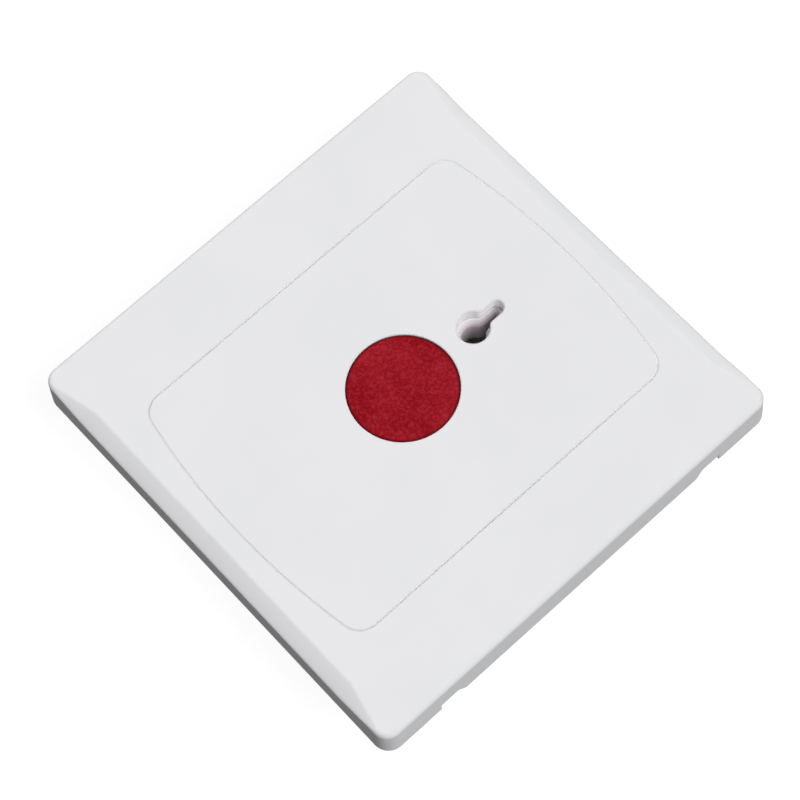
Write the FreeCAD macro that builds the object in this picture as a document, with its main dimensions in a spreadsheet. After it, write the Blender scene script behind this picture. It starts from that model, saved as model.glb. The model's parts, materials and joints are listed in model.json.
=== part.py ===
import FreeCAD, Part
import math
import os
import re
import Sketcher
from FreeCAD import Vector

# Emergency exit button on a square wall plate: a front cover with a flush red
# push button and a keyhole, a base plate for the wall box, and the latching
# changeover switch that hangs behind it.
#
# Frame, in millimetres: the wall surface is the plane z = 0, the button's axis
# is the line x = y = 0, +Z points out of the wall, +Y is up on the wall and the
# keyhole lies toward +X.

SIZES = {
    # front cover
    "cover_side": 86.0,
    "cover_depth": 7.0,
    "cover_wall": 2.0,
    "face_skin": 2.0,
    "cover_corner": 3.0,
    "edge_round": 0.9,
    "side_draft": 0.25,
    "wall_top": 5.4,
    "bevel_width": 3.0,
    "bevel_crown": 18.0,
    "bevel_run": 11.3,
    "bevel_fade": 3.0,
    "bevel_toe": 0.7,
    "bevel_toe_drop": 0.3,
    # engraved panel line
    "panel_half_height": 27.0,
    "panel_half_width": 36.5,
    "panel_bow": 135.0,
    "panel_corner": 3.8,
    "groove_floor": 0.06,
    "groove_slope": 0.16,
    "groove_depth": 0.2,
    # push button and its sleeve in the cover
    "button_radius": 9.4,
    "button_gap": 0.2,
    "hole_rim": 0.1,
    "button_sink": 0.1,
    "button_rim": 0.3,
    "button_skin": 1.65,
    "skirt_wall": 1.5,
    "sleeve_wall": 1.5,
    "sleeve_depth": 4.5,
    "skirt_room": 0.4,
    "travel": 3.2,
    # keyhole
    "key_place": 15.8,
    "key_radius": 2.9,
    "key_slot": 2.6,
    "key_end": 22.4,
    "key_fillet": 1.0,
    "key_rim": 0.2,
    "key_collar": 0.8,
    "key_collar_wall": 1.5,
    "key_step": 0.8,
    "key_lead": 0.6,
    "key_lead_depth": 1.5,
    "key_gap": 0.2,
    "key_room": 2.0,
    # snap catches and pry notches
    "snap_place": 28.5,
    "snap_length": 6.0,
    "snap_bite": 0.7,
    "snap_height": 1.9,
    "snap_rise": 1.2,
    "snap_root": 0.3,
    "pry_length": 5.2,
    "pry_height": 1.8,
    "pry_slant": 1.4,
    # stiffening ribs
    "rib": 1.2,
    "rib_height": 0.9,
    "cover_rib_place": 33.0,
    "cover_rib_gap": 3.0,
    "base_rib_place": 12.5,
    # base plate
    "fit_gap": 0.4,
    "rim_wall": 1.6,
    "web_level": 0.3,
    "web": 1.7,
    "box_screw_pitch": 60.3,
    "box_slot_length": 7.0,
    "box_slot_width": 4.4,
    "box_pad_wall": 2.2,
    # switch housing
    "housing_length": 48.0,
    "housing_width": 28.0,
    "housing_wall": 1.6,
    "housing_corner": 1.5,
    "housing_depth": 17.0,
    "flange": 1.5,
    "flange_reach": 5.0,
    "deck_top": -0.7,
    "deck": 1.8,
    "lid": 2.0,
    "lid_lip": 1.5,
    "pillar": 4.5,
    "seat_gap": 0.2,
    "running_gap": 0.05,
    "port_overcut": 0.1,
    "root": 0.2,
    "past": 1.0,
    "contact_gap": 0.1,
    # stem
    "stem_side": 6.0,
    "stem_gap": 0.2,
    "tenon_side": 5.0,
    "tenon_gap": 0.05,
    "tenon_length": 2.1,
    "socket_radius": 4.5,
    "wedge_width": 2.5,
    "wedge_height": 3.0,
    "wedge_rise": 0.9,
    "stem_pin_radius": 1.5,
    # latch lever
    "lever": 1.2,
    "lever_gap": 0.3,
    "lever_bend": 2.0,
    "lever_taper": 0.4,
    "lever_tip_round": 0.8,
    "pivot_inset": 6.4,
    "pivot_radius": 1.0,
    "pivot_cover": 0.4,
    "hub_radius": 2.4,
    "hub_neck": 1.9,
    "nose_width": 3.4,
    "nose_gap": 0.15,
    "lever_near": 5.2,
    "lever_far": 8.0,
    "lever_key_edge": 4.6,
    "lever_overhang": 1.7,
    "spring_post_place": 5.5,
    "spring_post_radius": 0.6,
    "spring_post_height": 1.3,
    "spring_post_gap": 0.4,
    "spring_stop_run": 2.0,
    # stem guide plate
    "guide": 1.5,
    "guide_rib_place": 11.0,
    "guide_rib_reach": 1.5,
    "post_radius": 1.7,
    "post_inset_x": 5.9,
    "post_inset_y": 7.6,
    # contacts
    "strip": 0.6,
    "strip_width": 5.0,
    "strip_bend": 8.0,
    "strip_setback": 0.5,
    "prop_overhang": 1.0,
    "contact_place": 9.5,
    "rivet_head": 0.5,
    "rivet_radius": 1.5,
    "rivet_shank": 0.8,
    "bridge_width": 4.6,
    "bridge_end": 2.2,
    # terminal block
    "terminal_reach": 8.5,
    "terminal_screw_place": 4.5,
    "terminal_ledge": 4.0,
    "terminal_drop": 15.0,
    "barrier": 1.4,
    "clamp_side": 7.0,
    "clamp": 0.8,
    "clamp_lip": 0.6,
    "terminal_screw_radius": 1.5,
    "terminal_head_radius": 2.8,
    "terminal_head": 1.8,
    "terminal_thread": 3.0,
    "terminal_screw_gap": 0.1,
    # small screws
    "screw_radius": 1.1,
    "screw_head_radius": 2.0,
    "screw_head": 1.3,
    "screw_gap": 0.15,
    "screw_head_gap": 0.3,
    "screw_head_sink": 0.1,
    "screw_end_gap": 0.5,
    "screw_reach": 3.0,
    "lid_screw_reach": 6.5,
    # springs
    "return_wire": 0.6,
    "return_radius": 5.5,
    "return_turns": 3,
    "latch_wire": 0.4,
    "latch_turns": 2,
    "latch_leg": 6.0,
    "bridge_wire": 0.35,
    "bridge_spring_radius": 2.15,
    "bridge_spring_length": 2.6,
    "bridge_spring_turns": 3,
    "spring_seat": 0.05,
    "spring_lift": 0.1,
    "retainer_radius": 2.8,
    "retainer": 0.6,
    "retainer_gap": 0.02,
}

# Heights that several pieces share, from the face of the cover down to the lid.
INNER_FACE = "(cover_depth - face_skin)"
SLEEVE_END = "(cover_depth - sleeve_depth)"
KEY_COLLAR_END = "(cover_depth - face_skin - key_collar)"
KEY_BOSS_TOP = "(cover_depth - face_skin - key_collar - key_gap)"
WEB_TOP = "(web_level + web)"
FLANGE_TOP = "(web_level + web + flange)"
DECK_UNDER = "(deck_top - deck)"
LEVER_TOP = "(deck_top - deck - key_room)"
LEVER_UNDER = "(deck_top - deck - key_room - lever)"
GUIDE_TOP = "(deck_top - deck - key_room - lever - lever_gap)"
GUIDE_UNDER = "(deck_top - deck - key_room - lever - lever_gap - guide)"
UPPER_STRIP = GUIDE_UNDER[:-1] + " - strip)"
UPPER_RIVET = UPPER_STRIP[:-1] + " - rivet_head)"
BRIDGE_TOP = UPPER_RIVET[:-1] + " - contact_gap - rivet_head)"
BRIDGE_UNDER = BRIDGE_TOP[:-1] + " - strip)"
LOWER_RIVET = BRIDGE_UNDER[:-1] + " - rivet_head - travel - contact_gap)"
LOWER_STRIP_TOP = LOWER_RIVET[:-1] + " - rivet_head)"
LOWER_STRIP = LOWER_STRIP_TOP[:-1] + " - strip)"
LID_TOP = "(-housing_depth)"
LID_UNDER = "(-housing_depth - lid)"
CAP_TOP = "(cover_depth - button_sink)"
CAP_INNER = "(cover_depth - button_sink - button_skin)"
SKIRT_END = "(deck_top + travel + skirt_room)"
RIM_TOP = "(cover_depth - face_skin - rib_height - seat_gap)"
LEDGE_UNDER = UPPER_STRIP[:-1] + " + strip)"
LEDGE_TOP = LEDGE_UNDER[:-1] + " + terminal_ledge)"

# Plan positions that several pieces share.
HALF = "(cover_side / 2)"
COVER_INSIDE = "(cover_side / 2 - cover_wall)"
BASE_OUTSIDE = "(cover_side / 2 - cover_wall - fit_gap)"
BASE_INSIDE = "(cover_side / 2 - cover_wall - fit_gap - rim_wall)"
HOUSING_X = "(housing_length / 2)"
HOUSING_Y = "(housing_width / 2)"
ROOM_X = "(housing_length / 2 - housing_wall)"
ROOM_Y = "(housing_width / 2 - housing_wall)"
PIVOT_X = "(housing_length / 2 - housing_wall - pivot_inset)"
PIVOT_Y = "(housing_width / 2 - housing_wall - pivot_inset)"
PIVOT = ("-" + PIVOT_X, PIVOT_Y)
LID_SCREW_X = "(housing_length / 2 - housing_wall - pillar / 2)"
LID_SCREW_Y = "(housing_width / 2 - housing_wall - pillar / 2)"
FLANGE_SCREW_X = "(housing_length / 2 - flange_reach)"
FLANGE_SCREW_Y = "(housing_width / 2 + flange_reach / 2)"
TERMINAL_END = "(-housing_width / 2 - terminal_reach)"
STRIP_END = TERMINAL_END + " + strip_setback"
TERMINAL_Y = "(-housing_width / 2 - terminal_screw_place)"
TERMINALS = ("-contact_place", "0", "contact_place")
CORNERS = ((1, 1), (-1, 1), (-1, -1), (1, -1))

doc = FreeCAD.newDocument("ExitButton")
sheet = doc.addObject("Spreadsheet::Sheet", "Sizes")
for row, (size_name, size) in enumerate(SIZES.items(), start=1):
    sheet.set("A%d" % row, size_name)
    sheet.set("B%d" % row, str(size))
    sheet.setAlias("B%d" % row, size_name)
size_reader = doc.addObject("App::FeaturePython", "SizeReader")
doc.recompute()


def bound(text):
    """The expression with each size read from the sheet."""
    return re.sub(r"[a-z_]+", lambda word: "Sizes." + word[0] if word[0] in SIZES else word[0], text)


def number(text):
    """The value that an expression has now, for a sketch's first guess."""
    return float(size_reader.evalExpression(bound(text)))


def bind(feature, prop, text):
    feature.setExpression(prop, bound(text))


def new_body(label):
    body = doc.addObject("PartDesign::Body", label)
    body.Label = label
    body.Placement = FreeCAD.Placement()
    return body


# Sketch shapes

def sketch(body, name, plane="XY_Plane", offset="0"):
    """A sketch on one of the body's own planes, lifted along that plane's normal."""
    made = body.newObject("Sketcher::SketchObject", name)
    support = next(f for f in body.Origin.OriginFeatures if f.Role == plane)
    made.AttachmentSupport = [(support, "")]
    made.MapMode = "FlatFace"
    bind(made, "AttachmentOffset.Base.z", offset)
    return made


def dimension(made, text, kind, *places):
    index = made.addConstraint(Sketcher.Constraint(kind, *places, number(text)))
    bind(made, "Constraints[%d]" % index, text)


def place(made, piece, point, x, y):
    dimension(made, x, "DistanceX", piece, point)
    dimension(made, y, "DistanceY", piece, point)


def add_circle(made, x, y, radius):
    centre = Vector(number(x), number(y), 0)
    circle = made.addGeometry(Part.Circle(centre, Vector(0, 0, 1), number(radius)))
    place(made, circle, 3, x, y)
    dimension(made, radius, "Radius", circle)


def add_line(made, start, end):
    return made.addGeometry(Part.LineSegment(Vector(*start, 0), Vector(*end, 0)))


def add_arc(made, centre, radius, start_angle, end_angle):
    circle = Part.Circle(Vector(*centre, 0), Vector(0, 0, 1), radius)
    return made.addGeometry(Part.ArcOfCircle(circle, start_angle, end_angle))


def join(made, kind, first, first_point, second, second_point):
    made.addConstraint(Sketcher.Constraint(kind, first, first_point, second, second_point))


def add_polygon(made, points):
    spots = [(number(x), number(y)) for x, y in points]
    lines = [add_line(made, spot, spots[(i + 1) % len(spots)]) for i, spot in enumerate(spots)]
    for i, line in enumerate(lines):
        join(made, "Coincident", line, 2, lines[(i + 1) % len(lines)], 1)
        place(made, line, 1, *points[i])
    return lines


def add_rectangle(made, left, right, low, high):
    add_polygon(made, [(left, low), (right, low), (right, high), (left, high)])


def add_rounded_rectangle(made, half_x, half_y, radius):
    """A rectangle about the origin whose corners are quarter circles."""
    x, y, r = number(half_x), number(half_y), number(radius)
    right = add_line(made, (x, r - y), (x, y - r))
    top = add_line(made, (x - r, y), (r - x, y))
    left = add_line(made, (-x, y - r), (-x, r - y))
    bottom = add_line(made, (r - x, -y), (x - r, -y))
    sides = (right, top, left, bottom)
    arcs = []
    for i, (sx, sy) in enumerate(CORNERS):
        centre = (sx * (x - r), sy * (y - r))
        arcs.append(add_arc(made, centre, r, i * math.pi / 2, (i + 1) * math.pi / 2))
        join(made, "Tangent", sides[i], 2, arcs[i], 1)
        join(made, "Tangent", arcs[i], 2, sides[(i + 1) % 4], 1)
        dimension(made, radius, "Radius", arcs[i])
    dimension(made, half_x, "DistanceX", right, 1)
    dimension(made, half_y, "DistanceY", top, 1)
    dimension(made, "-" + half_x, "DistanceX", left, 1)
    dimension(made, "-" + half_y, "DistanceY", bottom, 1)
    for side, kind in ((right, "Vertical"), (top, "Horizontal"), (left, "Vertical"), (bottom, "Horizontal")):
        made.addConstraint(Sketcher.Constraint(kind, side))


def add_slot(made, x, y, length, width):
    """A slot along X with round ends, centred on x, y."""
    cx, cy, reach, r = number(x), number(y), number(length) / 2, number(width) / 2
    top = add_line(made, (cx + reach - r, cy + r), (cx - reach + r, cy + r))
    bottom = add_line(made, (cx - reach + r, cy - r), (cx + reach - r, cy - r))
    left = add_arc(made, (cx - reach + r, cy), r, math.pi / 2, 1.5 * math.pi)
    right = add_arc(made, (cx + reach - r, cy), r, -math.pi / 2, math.pi / 2)
    join(made, "Tangent", top, 2, left, 1)
    join(made, "Tangent", left, 2, bottom, 1)
    join(made, "Tangent", bottom, 2, right, 1)
    join(made, "Tangent", right, 2, top, 1)
    place(made, left, 3, "%s - (%s - %s) / 2" % (x, length, width), y)
    place(made, right, 3, "%s + (%s - %s) / 2" % (x, length, width), y)
    dimension(made, width + " / 2", "Radius", left)


def add_keyhole(made, inset):
    """A round hole with a slot toward +X, its two inner corners rounded; inset shrinks it all round."""
    radius, half_slot = "key_radius - " + inset, "key_slot / 2 - " + inset
    fillet, end = "key_fillet + " + inset, "key_end - key_slot / 2"
    big, half, small = number(radius), number(half_slot), number(fillet)
    x, far = number("key_place"), number(end)
    near = x + math.sqrt((big + small) ** 2 - (half + small) ** 2)
    turn = math.atan2(half + small, near - x)
    bowl = add_arc(made, (x, 0), big, turn, 2 * math.pi - turn)
    low_fillet = add_arc(made, (near, -half - small), small, math.pi / 2, math.pi - turn)
    low = add_line(made, (near, -half), (far, -half))
    tip = add_arc(made, (far, 0), half, -math.pi / 2, math.pi / 2)
    high = add_line(made, (far, half), (near, half))
    high_fillet = add_arc(made, (near, half + small), small, math.pi + turn, 1.5 * math.pi)
    join(made, "Tangent", bowl, 2, low_fillet, 2)
    join(made, "Tangent", low_fillet, 1, low, 1)
    join(made, "Tangent", low, 2, tip, 1)
    join(made, "Tangent", tip, 2, high, 1)
    join(made, "Tangent", high, 2, high_fillet, 2)
    join(made, "Tangent", high_fillet, 1, bowl, 1)
    place(made, bowl, 3, "key_place", "0")
    place(made, tip, 3, end, "0")
    dimension(made, radius, "Radius", bowl)
    dimension(made, half_slot, "Radius", tip)
    dimension(made, fillet, "Radius", low_fillet)
    dimension(made, fillet, "Radius", high_fillet)
    for line in (low, high):
        made.addConstraint(Sketcher.Constraint("Horizontal", line))


def add_bowed_panel(made, inset):
    """The panel line: straight above and below, bowed outward at the sides, with round corners."""
    height, width = "(panel_half_height - (%s))" % inset, "(panel_half_width - (%s))" % inset
    bow, corner = "(panel_bow - (%s))" % inset, "(panel_corner - (%s))" % inset
    centre = "(panel_half_width - panel_bow)"
    y, big, small, mid = number(height), number(bow), number(corner), number(centre)
    corner_x = mid + math.sqrt((big - small) ** 2 - (y - small) ** 2)
    turn = math.atan2(y - small, corner_x - mid)
    right = add_arc(made, (mid, 0), big, -turn, turn)
    top = add_line(made, (corner_x, y), (-corner_x, y))
    left = add_arc(made, (-mid, 0), big, math.pi - turn, math.pi + turn)
    bottom = add_line(made, (-corner_x, -y), (corner_x, -y))
    sides = (right, top, left, bottom)
    starts = (turn, math.pi / 2, math.pi + turn, 1.5 * math.pi)
    ends = (math.pi / 2, math.pi - turn, 1.5 * math.pi, 2 * math.pi - turn)
    for i, (sx, sy) in enumerate(CORNERS):
        arc = add_arc(made, (sx * corner_x, sy * (y - small)), small, starts[i], ends[i])
        join(made, "Tangent", sides[i], 2, arc, 1)
        join(made, "Tangent", arc, 2, sides[(i + 1) % 4], 1)
        dimension(made, corner, "Radius", arc)
    for line, level in ((top, height), (bottom, "-" + height)):
        made.addConstraint(Sketcher.Constraint("Horizontal", line))
        dimension(made, level, "DistanceY", line, 1)
    for arc, x in ((right, centre), (left, "-" + centre)):
        place(made, arc, 3, x, "0")
        dimension(made, bow, "Radius", arc)


# Features

def extrude(body, profile, length, cut=False, both_ways=False):
    """Adds or cuts the profile along its sketch's normal, or equally to both sides of it."""
    kind = "PartDesign::Pocket" if cut else "PartDesign::Pad"
    feature = body.newObject(kind, profile.Name + ("Cut" if cut else "Pad"))
    feature.Profile = profile
    if both_ways:
        feature.SideType = "Symmetric"
    feature.Reversed = cut
    bind(feature, "Length", length)
    doc.recompute()
    return feature


def blocks(body, name, boxes, low, high, cut=False):
    """Straight blocks, each given by its left, right, low y and high y, between two heights."""
    profile = sketch(body, name, offset=low)
    for box in boxes:
        add_rectangle(profile, *box)
    return extrude(body, profile, "%s - (%s)" % (high, low), cut)


def loft_cut(body, name, first, last):
    """A straight-sided cut that runs from one sketch to the other."""
    loft = body.newObject("PartDesign::SubtractiveLoft", name)
    loft.Profile = first
    loft.Sections = [last]
    loft.Ruled = True
    doc.recompute()


def posts(body, name, spots, radius, low, high, cut=False):
    """Round posts or holes on the given spots, between two heights."""
    profile = sketch(body, name, offset=low)
    for x, y in spots:
        add_circle(profile, x, y, radius)
    return extrude(body, profile, "%s - (%s)" % (high, low), cut)


def ring(body, name, half_x, half_y, wall, corner, low, high):
    """An upright rectangular wall, open above and below."""
    profile = sketch(body, name, offset=low)
    add_rounded_rectangle(profile, half_x, half_y, corner)
    add_rounded_rectangle(profile, "(%s - %s)" % (half_x, wall), "(%s - %s)" % (half_y, wall),
                          "(%s / 2)" % corner)
    return extrude(body, profile, "%s - (%s)" % (high, low))


def dress_edges(body, kind, name, base, prop, size, wanted):
    """A fillet or chamfer on the edges of the base feature that the test picks out."""
    edges = ["Edge%d" % (i + 1) for i, edge in enumerate(base.Shape.Edges) if wanted(edge)]
    feature = body.newObject(kind, name)
    feature.Base = (base, edges)
    bind(feature, prop, size)
    doc.recompute()
    return feature


def round_edges(body, name, base, radius, wanted):
    return dress_edges(body, "PartDesign::Fillet", name, base, "Radius", radius, wanted)


def bevel_edges(body, name, base, size, wanted):
    return dress_edges(body, "PartDesign::Chamfer", name, base, "Size", size, wanted)


def near(value, target):
    return abs(value - target) < 0.01


def level_edge(edge, height):
    return near(edge.BoundBox.ZMin, height) and near(edge.BoundBox.ZMax, height)


def signed(signs, x, y):
    return ("%d * %s" % (signs[0], x), "%d * %s" % (signs[1], y))


def all_corners(x, y):
    return [signed(corner, x, y) for corner in CORNERS]


def mirrored(sign, near_end, far_end):
    """The span from the near end to the far end, or its mirror image, lower value first."""
    return (near_end, far_end) if sign > 0 else ("-" + far_end, "-" + near_end)


def corner_boxes(near_x, far_x, near_y, far_y):
    """The same box in all four corners."""
    return [mirrored(sx, near_x, far_x) + mirrored(sy, near_y, far_y) for sx, sy in CORNERS]


# Front cover: one moulded shell

def bevel_outline(made, side, inner, outer, low):
    """The wedge that is cut off a side: a slightly crowned slope from the face down to the wall."""
    beyond = "(cover_side / 2 + past)"
    above = "(cover_depth + past)"
    points = [(inner, "cover_depth"), (outer, low), (beyond, low), (beyond, above), (inner, above)]
    points = [("%d * %s" % (side, x), z) for x, z in points]
    spots = [Vector(number(x), number(z), 0) for x, z in points]
    chord = spots[1] - spots[0]
    radius = number("bevel_crown")
    outward = Vector(-chord.y, chord.x, 0).normalize() * side
    centre = (spots[0] + spots[1]) * 0.5 - outward * math.sqrt(radius ** 2 - (chord.Length / 2) ** 2)
    angles = [math.atan2(spot.y - centre.y, spot.x - centre.x) for spot in spots[:2]]
    slope = add_arc(made, centre[:2], radius, min(angles), max(angles))
    low_end, high_end = (1, 2) if side > 0 else (2, 1)
    lines = [add_line(made, spots[i][:2], spots[(i + 1) % 5][:2]) for i in range(1, 5)]
    join(made, "Coincident", slope, low_end, lines[0], 1)
    for i in range(3):
        join(made, "Coincident", lines[i], 2, lines[i + 1], 1)
    join(made, "Coincident", lines[3], 2, slope, high_end)
    for line, (x, z) in zip(lines, points[1:]):
        place(made, line, 1, x, z)
    place(made, lines[3], 2, *points[0])
    dimension(made, "bevel_crown", "Radius", slope)


def make_front_cover():
    body = new_body("front_cover")

    outline = sketch(body, "CoverOutline")
    add_rounded_rectangle(outline, HALF, HALF, "cover_corner")
    blank = extrude(body, outline, "cover_depth")
    bind(blank, "TaperAngle", "-atan(side_draft / wall_top)")
    doc.recompute()
    face = number("cover_depth")
    round_edges(body, "FrontEdges", blank, "edge_round", lambda edge: level_edge(edge, face))

    # the two sloped sides, full in the middle and fading out toward the corners
    inner = "(cover_side / 2 - bevel_width)"
    wall = "(cover_side / 2 - side_draft)"
    toe_level = "(cover_depth - bevel_toe_drop)"
    toe_outer = "(cover_side / 2 - side_draft * %s / wall_top)" % toe_level
    toe_inner = "(%s - bevel_toe)" % toe_outer
    full_half = "(cover_side / 2 - bevel_run)"
    fade_half = "(cover_side / 2 - bevel_fade)"
    for side, name in ((1, "Right"), (-1, "Left")):
        middle = sketch(body, name + "Bevel", "XZ_Plane")
        bevel_outline(middle, side, inner, wall, "wall_top")
        extrude(body, middle, "2 * " + full_half, cut=True, both_ways=True)
        for end, place_name in ((1, "Low"), (-1, "High")):
            start = sketch(body, name + place_name + "Full", "XZ_Plane", "%d * %s" % (end, full_half))
            bevel_outline(start, side, inner, wall, "wall_top")
            stop = sketch(body, name + place_name + "Fade", "XZ_Plane", "%d * %s" % (end, fade_half))
            bevel_outline(stop, side, toe_inner, toe_outer, toe_level)
            loft_cut(body, name + place_name + "Bevel", start, stop)

    # the hollow behind the face
    hollow = sketch(body, "Hollow")
    add_rounded_rectangle(hollow, COVER_INSIDE, COVER_INSIDE, "(cover_corner / 2)")
    extrude(body, hollow, INNER_FACE, cut=True)

    # sleeve that guides the button, and the collar round the keyhole
    posts(body, "Sleeve", [("0", "0")], "(button_radius + button_gap + sleeve_wall)", SLEEVE_END,
          INNER_FACE + " + root")
    posts(body, "KeyCollar", [("key_place", "0")], "(key_radius + key_collar_wall)", KEY_COLLAR_END,
          INNER_FACE + " + root")
    slot_half = "(key_slot / 2 + key_collar_wall)"
    blocks(body, "KeyCollarTail", [("key_place", "key_end + key_collar_wall", "-" + slot_half, slot_half)],
           KEY_COLLAR_END, INNER_FACE + " + root")

    # stiffening ribs under the face, clear of the switch's flange
    full_width = ("-%s - root" % COVER_INSIDE, "%s + root" % COVER_INSIDE)
    level = "(housing_width / 2 + flange_reach + cover_rib_gap)"
    upright = [mirrored(sign, "(cover_rib_place - rib / 2)", "(cover_rib_place + rib / 2)") + full_width
               for sign in (1, -1)]
    blocks(body, "UprightRibs", upright, INNER_FACE + " - rib_height", INNER_FACE + " + root")
    across = [full_width + mirrored(sign, "(%s - rib / 2)" % level, "(%s + rib / 2)" % level)
              for sign in (1, -1)]
    blocks(body, "LevelRibs", across, INNER_FACE + " - rib_height", INNER_FACE + " + root")

    # snap catches on the upper and lower walls
    for side, name in ((1, "Upper"), (-1, "Lower")):
        for sign in (1, -1):
            catch = sketch(body, "%sCatch%s" % (name, "Right" if sign > 0 else "Left"), "YZ_Plane",
                           "%d * snap_place - snap_length / 2" % sign)
            wall_face = "%d * (%s + snap_root)" % (side, COVER_INSIDE)
            tip = "%d * (%s - snap_bite)" % (side, COVER_INSIDE)
            add_polygon(catch, [(wall_face, "snap_height - snap_rise / 2"),
                                (tip, "snap_height + snap_rise / 4"),
                                (tip, "snap_height + snap_rise / 2"),
                                (wall_face, "snap_height + snap_rise")])
            extrude(body, catch, "snap_length")

    # pry notches in the lower wall, each slanted at the end nearer the middle
    for sign, name in ((1, "Right"), (-1, "Left")):
        notch = sketch(body, name + "PryNotch", "XZ_Plane", "%s + past" % HALF)
        inner, outer = "(snap_place - pry_length / 2)", "(snap_place + pry_length / 2)"
        slanted = "(snap_place - pry_length / 2 + pry_slant)"
        corners = [(inner, "-past"), (outer, "-past"), (outer, "pry_height"), (slanted, "pry_height"),
                   (inner, "0")]
        add_polygon(notch, [("%d * %s" % (sign, x), z) for x, z in corners])
        cut = extrude(body, notch, "past + cover_wall", cut=True)
        cut.Reversed = False

    # openings in the face
    posts(body, "ButtonHole", [("0", "0")], "(button_radius + button_gap)", "0", "cover_depth + past",
          cut=True)
    keyhole = sketch(body, "Keyhole")
    add_keyhole(keyhole, "0")
    extrude(body, keyhole, "cover_depth + past", cut=True)

    # engraved panel line, a shallow groove with sloped sides
    groove = sketch(body, "PanelLine", offset="cover_depth - groove_depth")
    add_bowed_panel(groove, "-groove_floor / 2")
    add_bowed_panel(groove, "groove_floor / 2")
    engraved = extrude(body, groove, "groove_depth + past", cut=True)
    inside, outside = number("panel_half_height - past"), number("panel_half_width + past")

    def on_panel(edge):
        middle = edge.BoundBox.Center
        return level_edge(edge, face) and inside < max(abs(middle.x), abs(middle.y)) < outside

    sloped = bevel_edges(body, "PanelLineSlopes", engraved, "groove_slope", on_panel)

    # soft rims of the two openings
    hole = number("button_radius + button_gap")
    key_left, key_right = number("key_place - key_radius"), number("key_end")

    def on_keyhole(edge):
        box = edge.BoundBox
        return level_edge(edge, face) and box.XMin > key_left - 0.1 and box.XMax < key_right + 0.1 \
            and abs(box.Center.y) < number("key_radius")

    rims = bevel_edges(body, "KeyholeRim", sloped, "key_rim", on_keyhole)
    bevel_edges(body, "ButtonRim", rims, "hole_rim",
                lambda edge: level_edge(edge, face) and near(edge.BoundBox.XMax, hole))
    return body


# Base plate: a shallow moulded tray that is screwed to the wall box

def make_base_plate():
    body = new_body("base_plate")
    plate = sketch(body, "PlateOutline")
    add_rounded_rectangle(plate, BASE_OUTSIDE, BASE_OUTSIDE, "(cover_corner - cover_wall / 2)")
    extrude(body, plate, RIM_TOP)
    for name, low, high in (("FrontTray", WEB_TOP, RIM_TOP + " + past"), ("BackTray", "-past", "web_level")):
        tray = sketch(body, name, offset=low)
        add_rounded_rectangle(tray, BASE_INSIDE, BASE_INSIDE, "(cover_corner / 3)")
        extrude(body, tray, "%s - (%s)" % (high, low), cut=True)

    # back ribs round the opening, to the rim, and pads round the box screws
    frame_x = "(%s + fit_gap + rib)" % HOUSING_X
    frame_y = "(%s + fit_gap + rib)" % HOUSING_Y
    blocks(body, "OpeningFrame", [("-" + frame_x, frame_x, "-" + frame_y, frame_y)], "0", "web_level + root")
    ribs = corner_boxes("(base_rib_place - rib / 2)", "(base_rib_place + rib / 2)",
                        "(%s - root)" % frame_y, "(%s + root)" % BASE_INSIDE)
    blocks(body, "BackRibs", ribs, "0", "web_level + root")
    pads = []
    for sign in (1, -1):
        middle = "%d * box_screw_pitch / 2" % sign
        reach = "(box_slot_length / 2 + box_pad_wall)"
        width = "(box_slot_width / 2 + box_pad_wall)"
        pads.append(("%s - %s" % (middle, reach), "%s + %s" % (middle, reach), "-" + width, width))
    blocks(body, "BoxScrewPads", pads, "0", "web_level + root")
    posts(body, "FlangeScrewBosses", all_corners(FLANGE_SCREW_X, FLANGE_SCREW_Y),
          "(screw_radius + rim_wall)", "0", "web_level + root")

    # openings: the switch housing, the box screws, its own screws and the snap windows
    opening_x, opening_y = "(%s + fit_gap)" % HOUSING_X, "(%s + fit_gap)" % HOUSING_Y
    blocks(body, "HousingOpening", [("-" + opening_x, opening_x, "-" + opening_y, opening_y)],
           "-past", WEB_TOP + " + past", cut=True)
    slots = sketch(body, "BoxScrewSlots", offset="-past")
    for sign in (1, -1):
        add_slot(slots, "%d * box_screw_pitch / 2" % sign, "0", "box_slot_length", "box_slot_width")
    extrude(body, slots, WEB_TOP + " + 2 * past", cut=True)
    posts(body, "FlangeScrewHoles", all_corners(FLANGE_SCREW_X, FLANGE_SCREW_Y),
          "(screw_radius + running_gap)", "-past", WEB_TOP + " + past", cut=True)
    windows = corner_boxes("(snap_place - snap_length / 2 - fit_gap)",
                           "(snap_place + snap_length / 2 + fit_gap)",
                           BASE_INSIDE, "(%s + past)" % BASE_OUTSIDE)
    blocks(body, "SnapWindows", windows, "snap_height - snap_rise / 2",
           "snap_height + snap_rise + snap_root", cut=True)
    return body


# Switch housing: the moulded box behind the plate, with its flange, deck and terminal block

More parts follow.
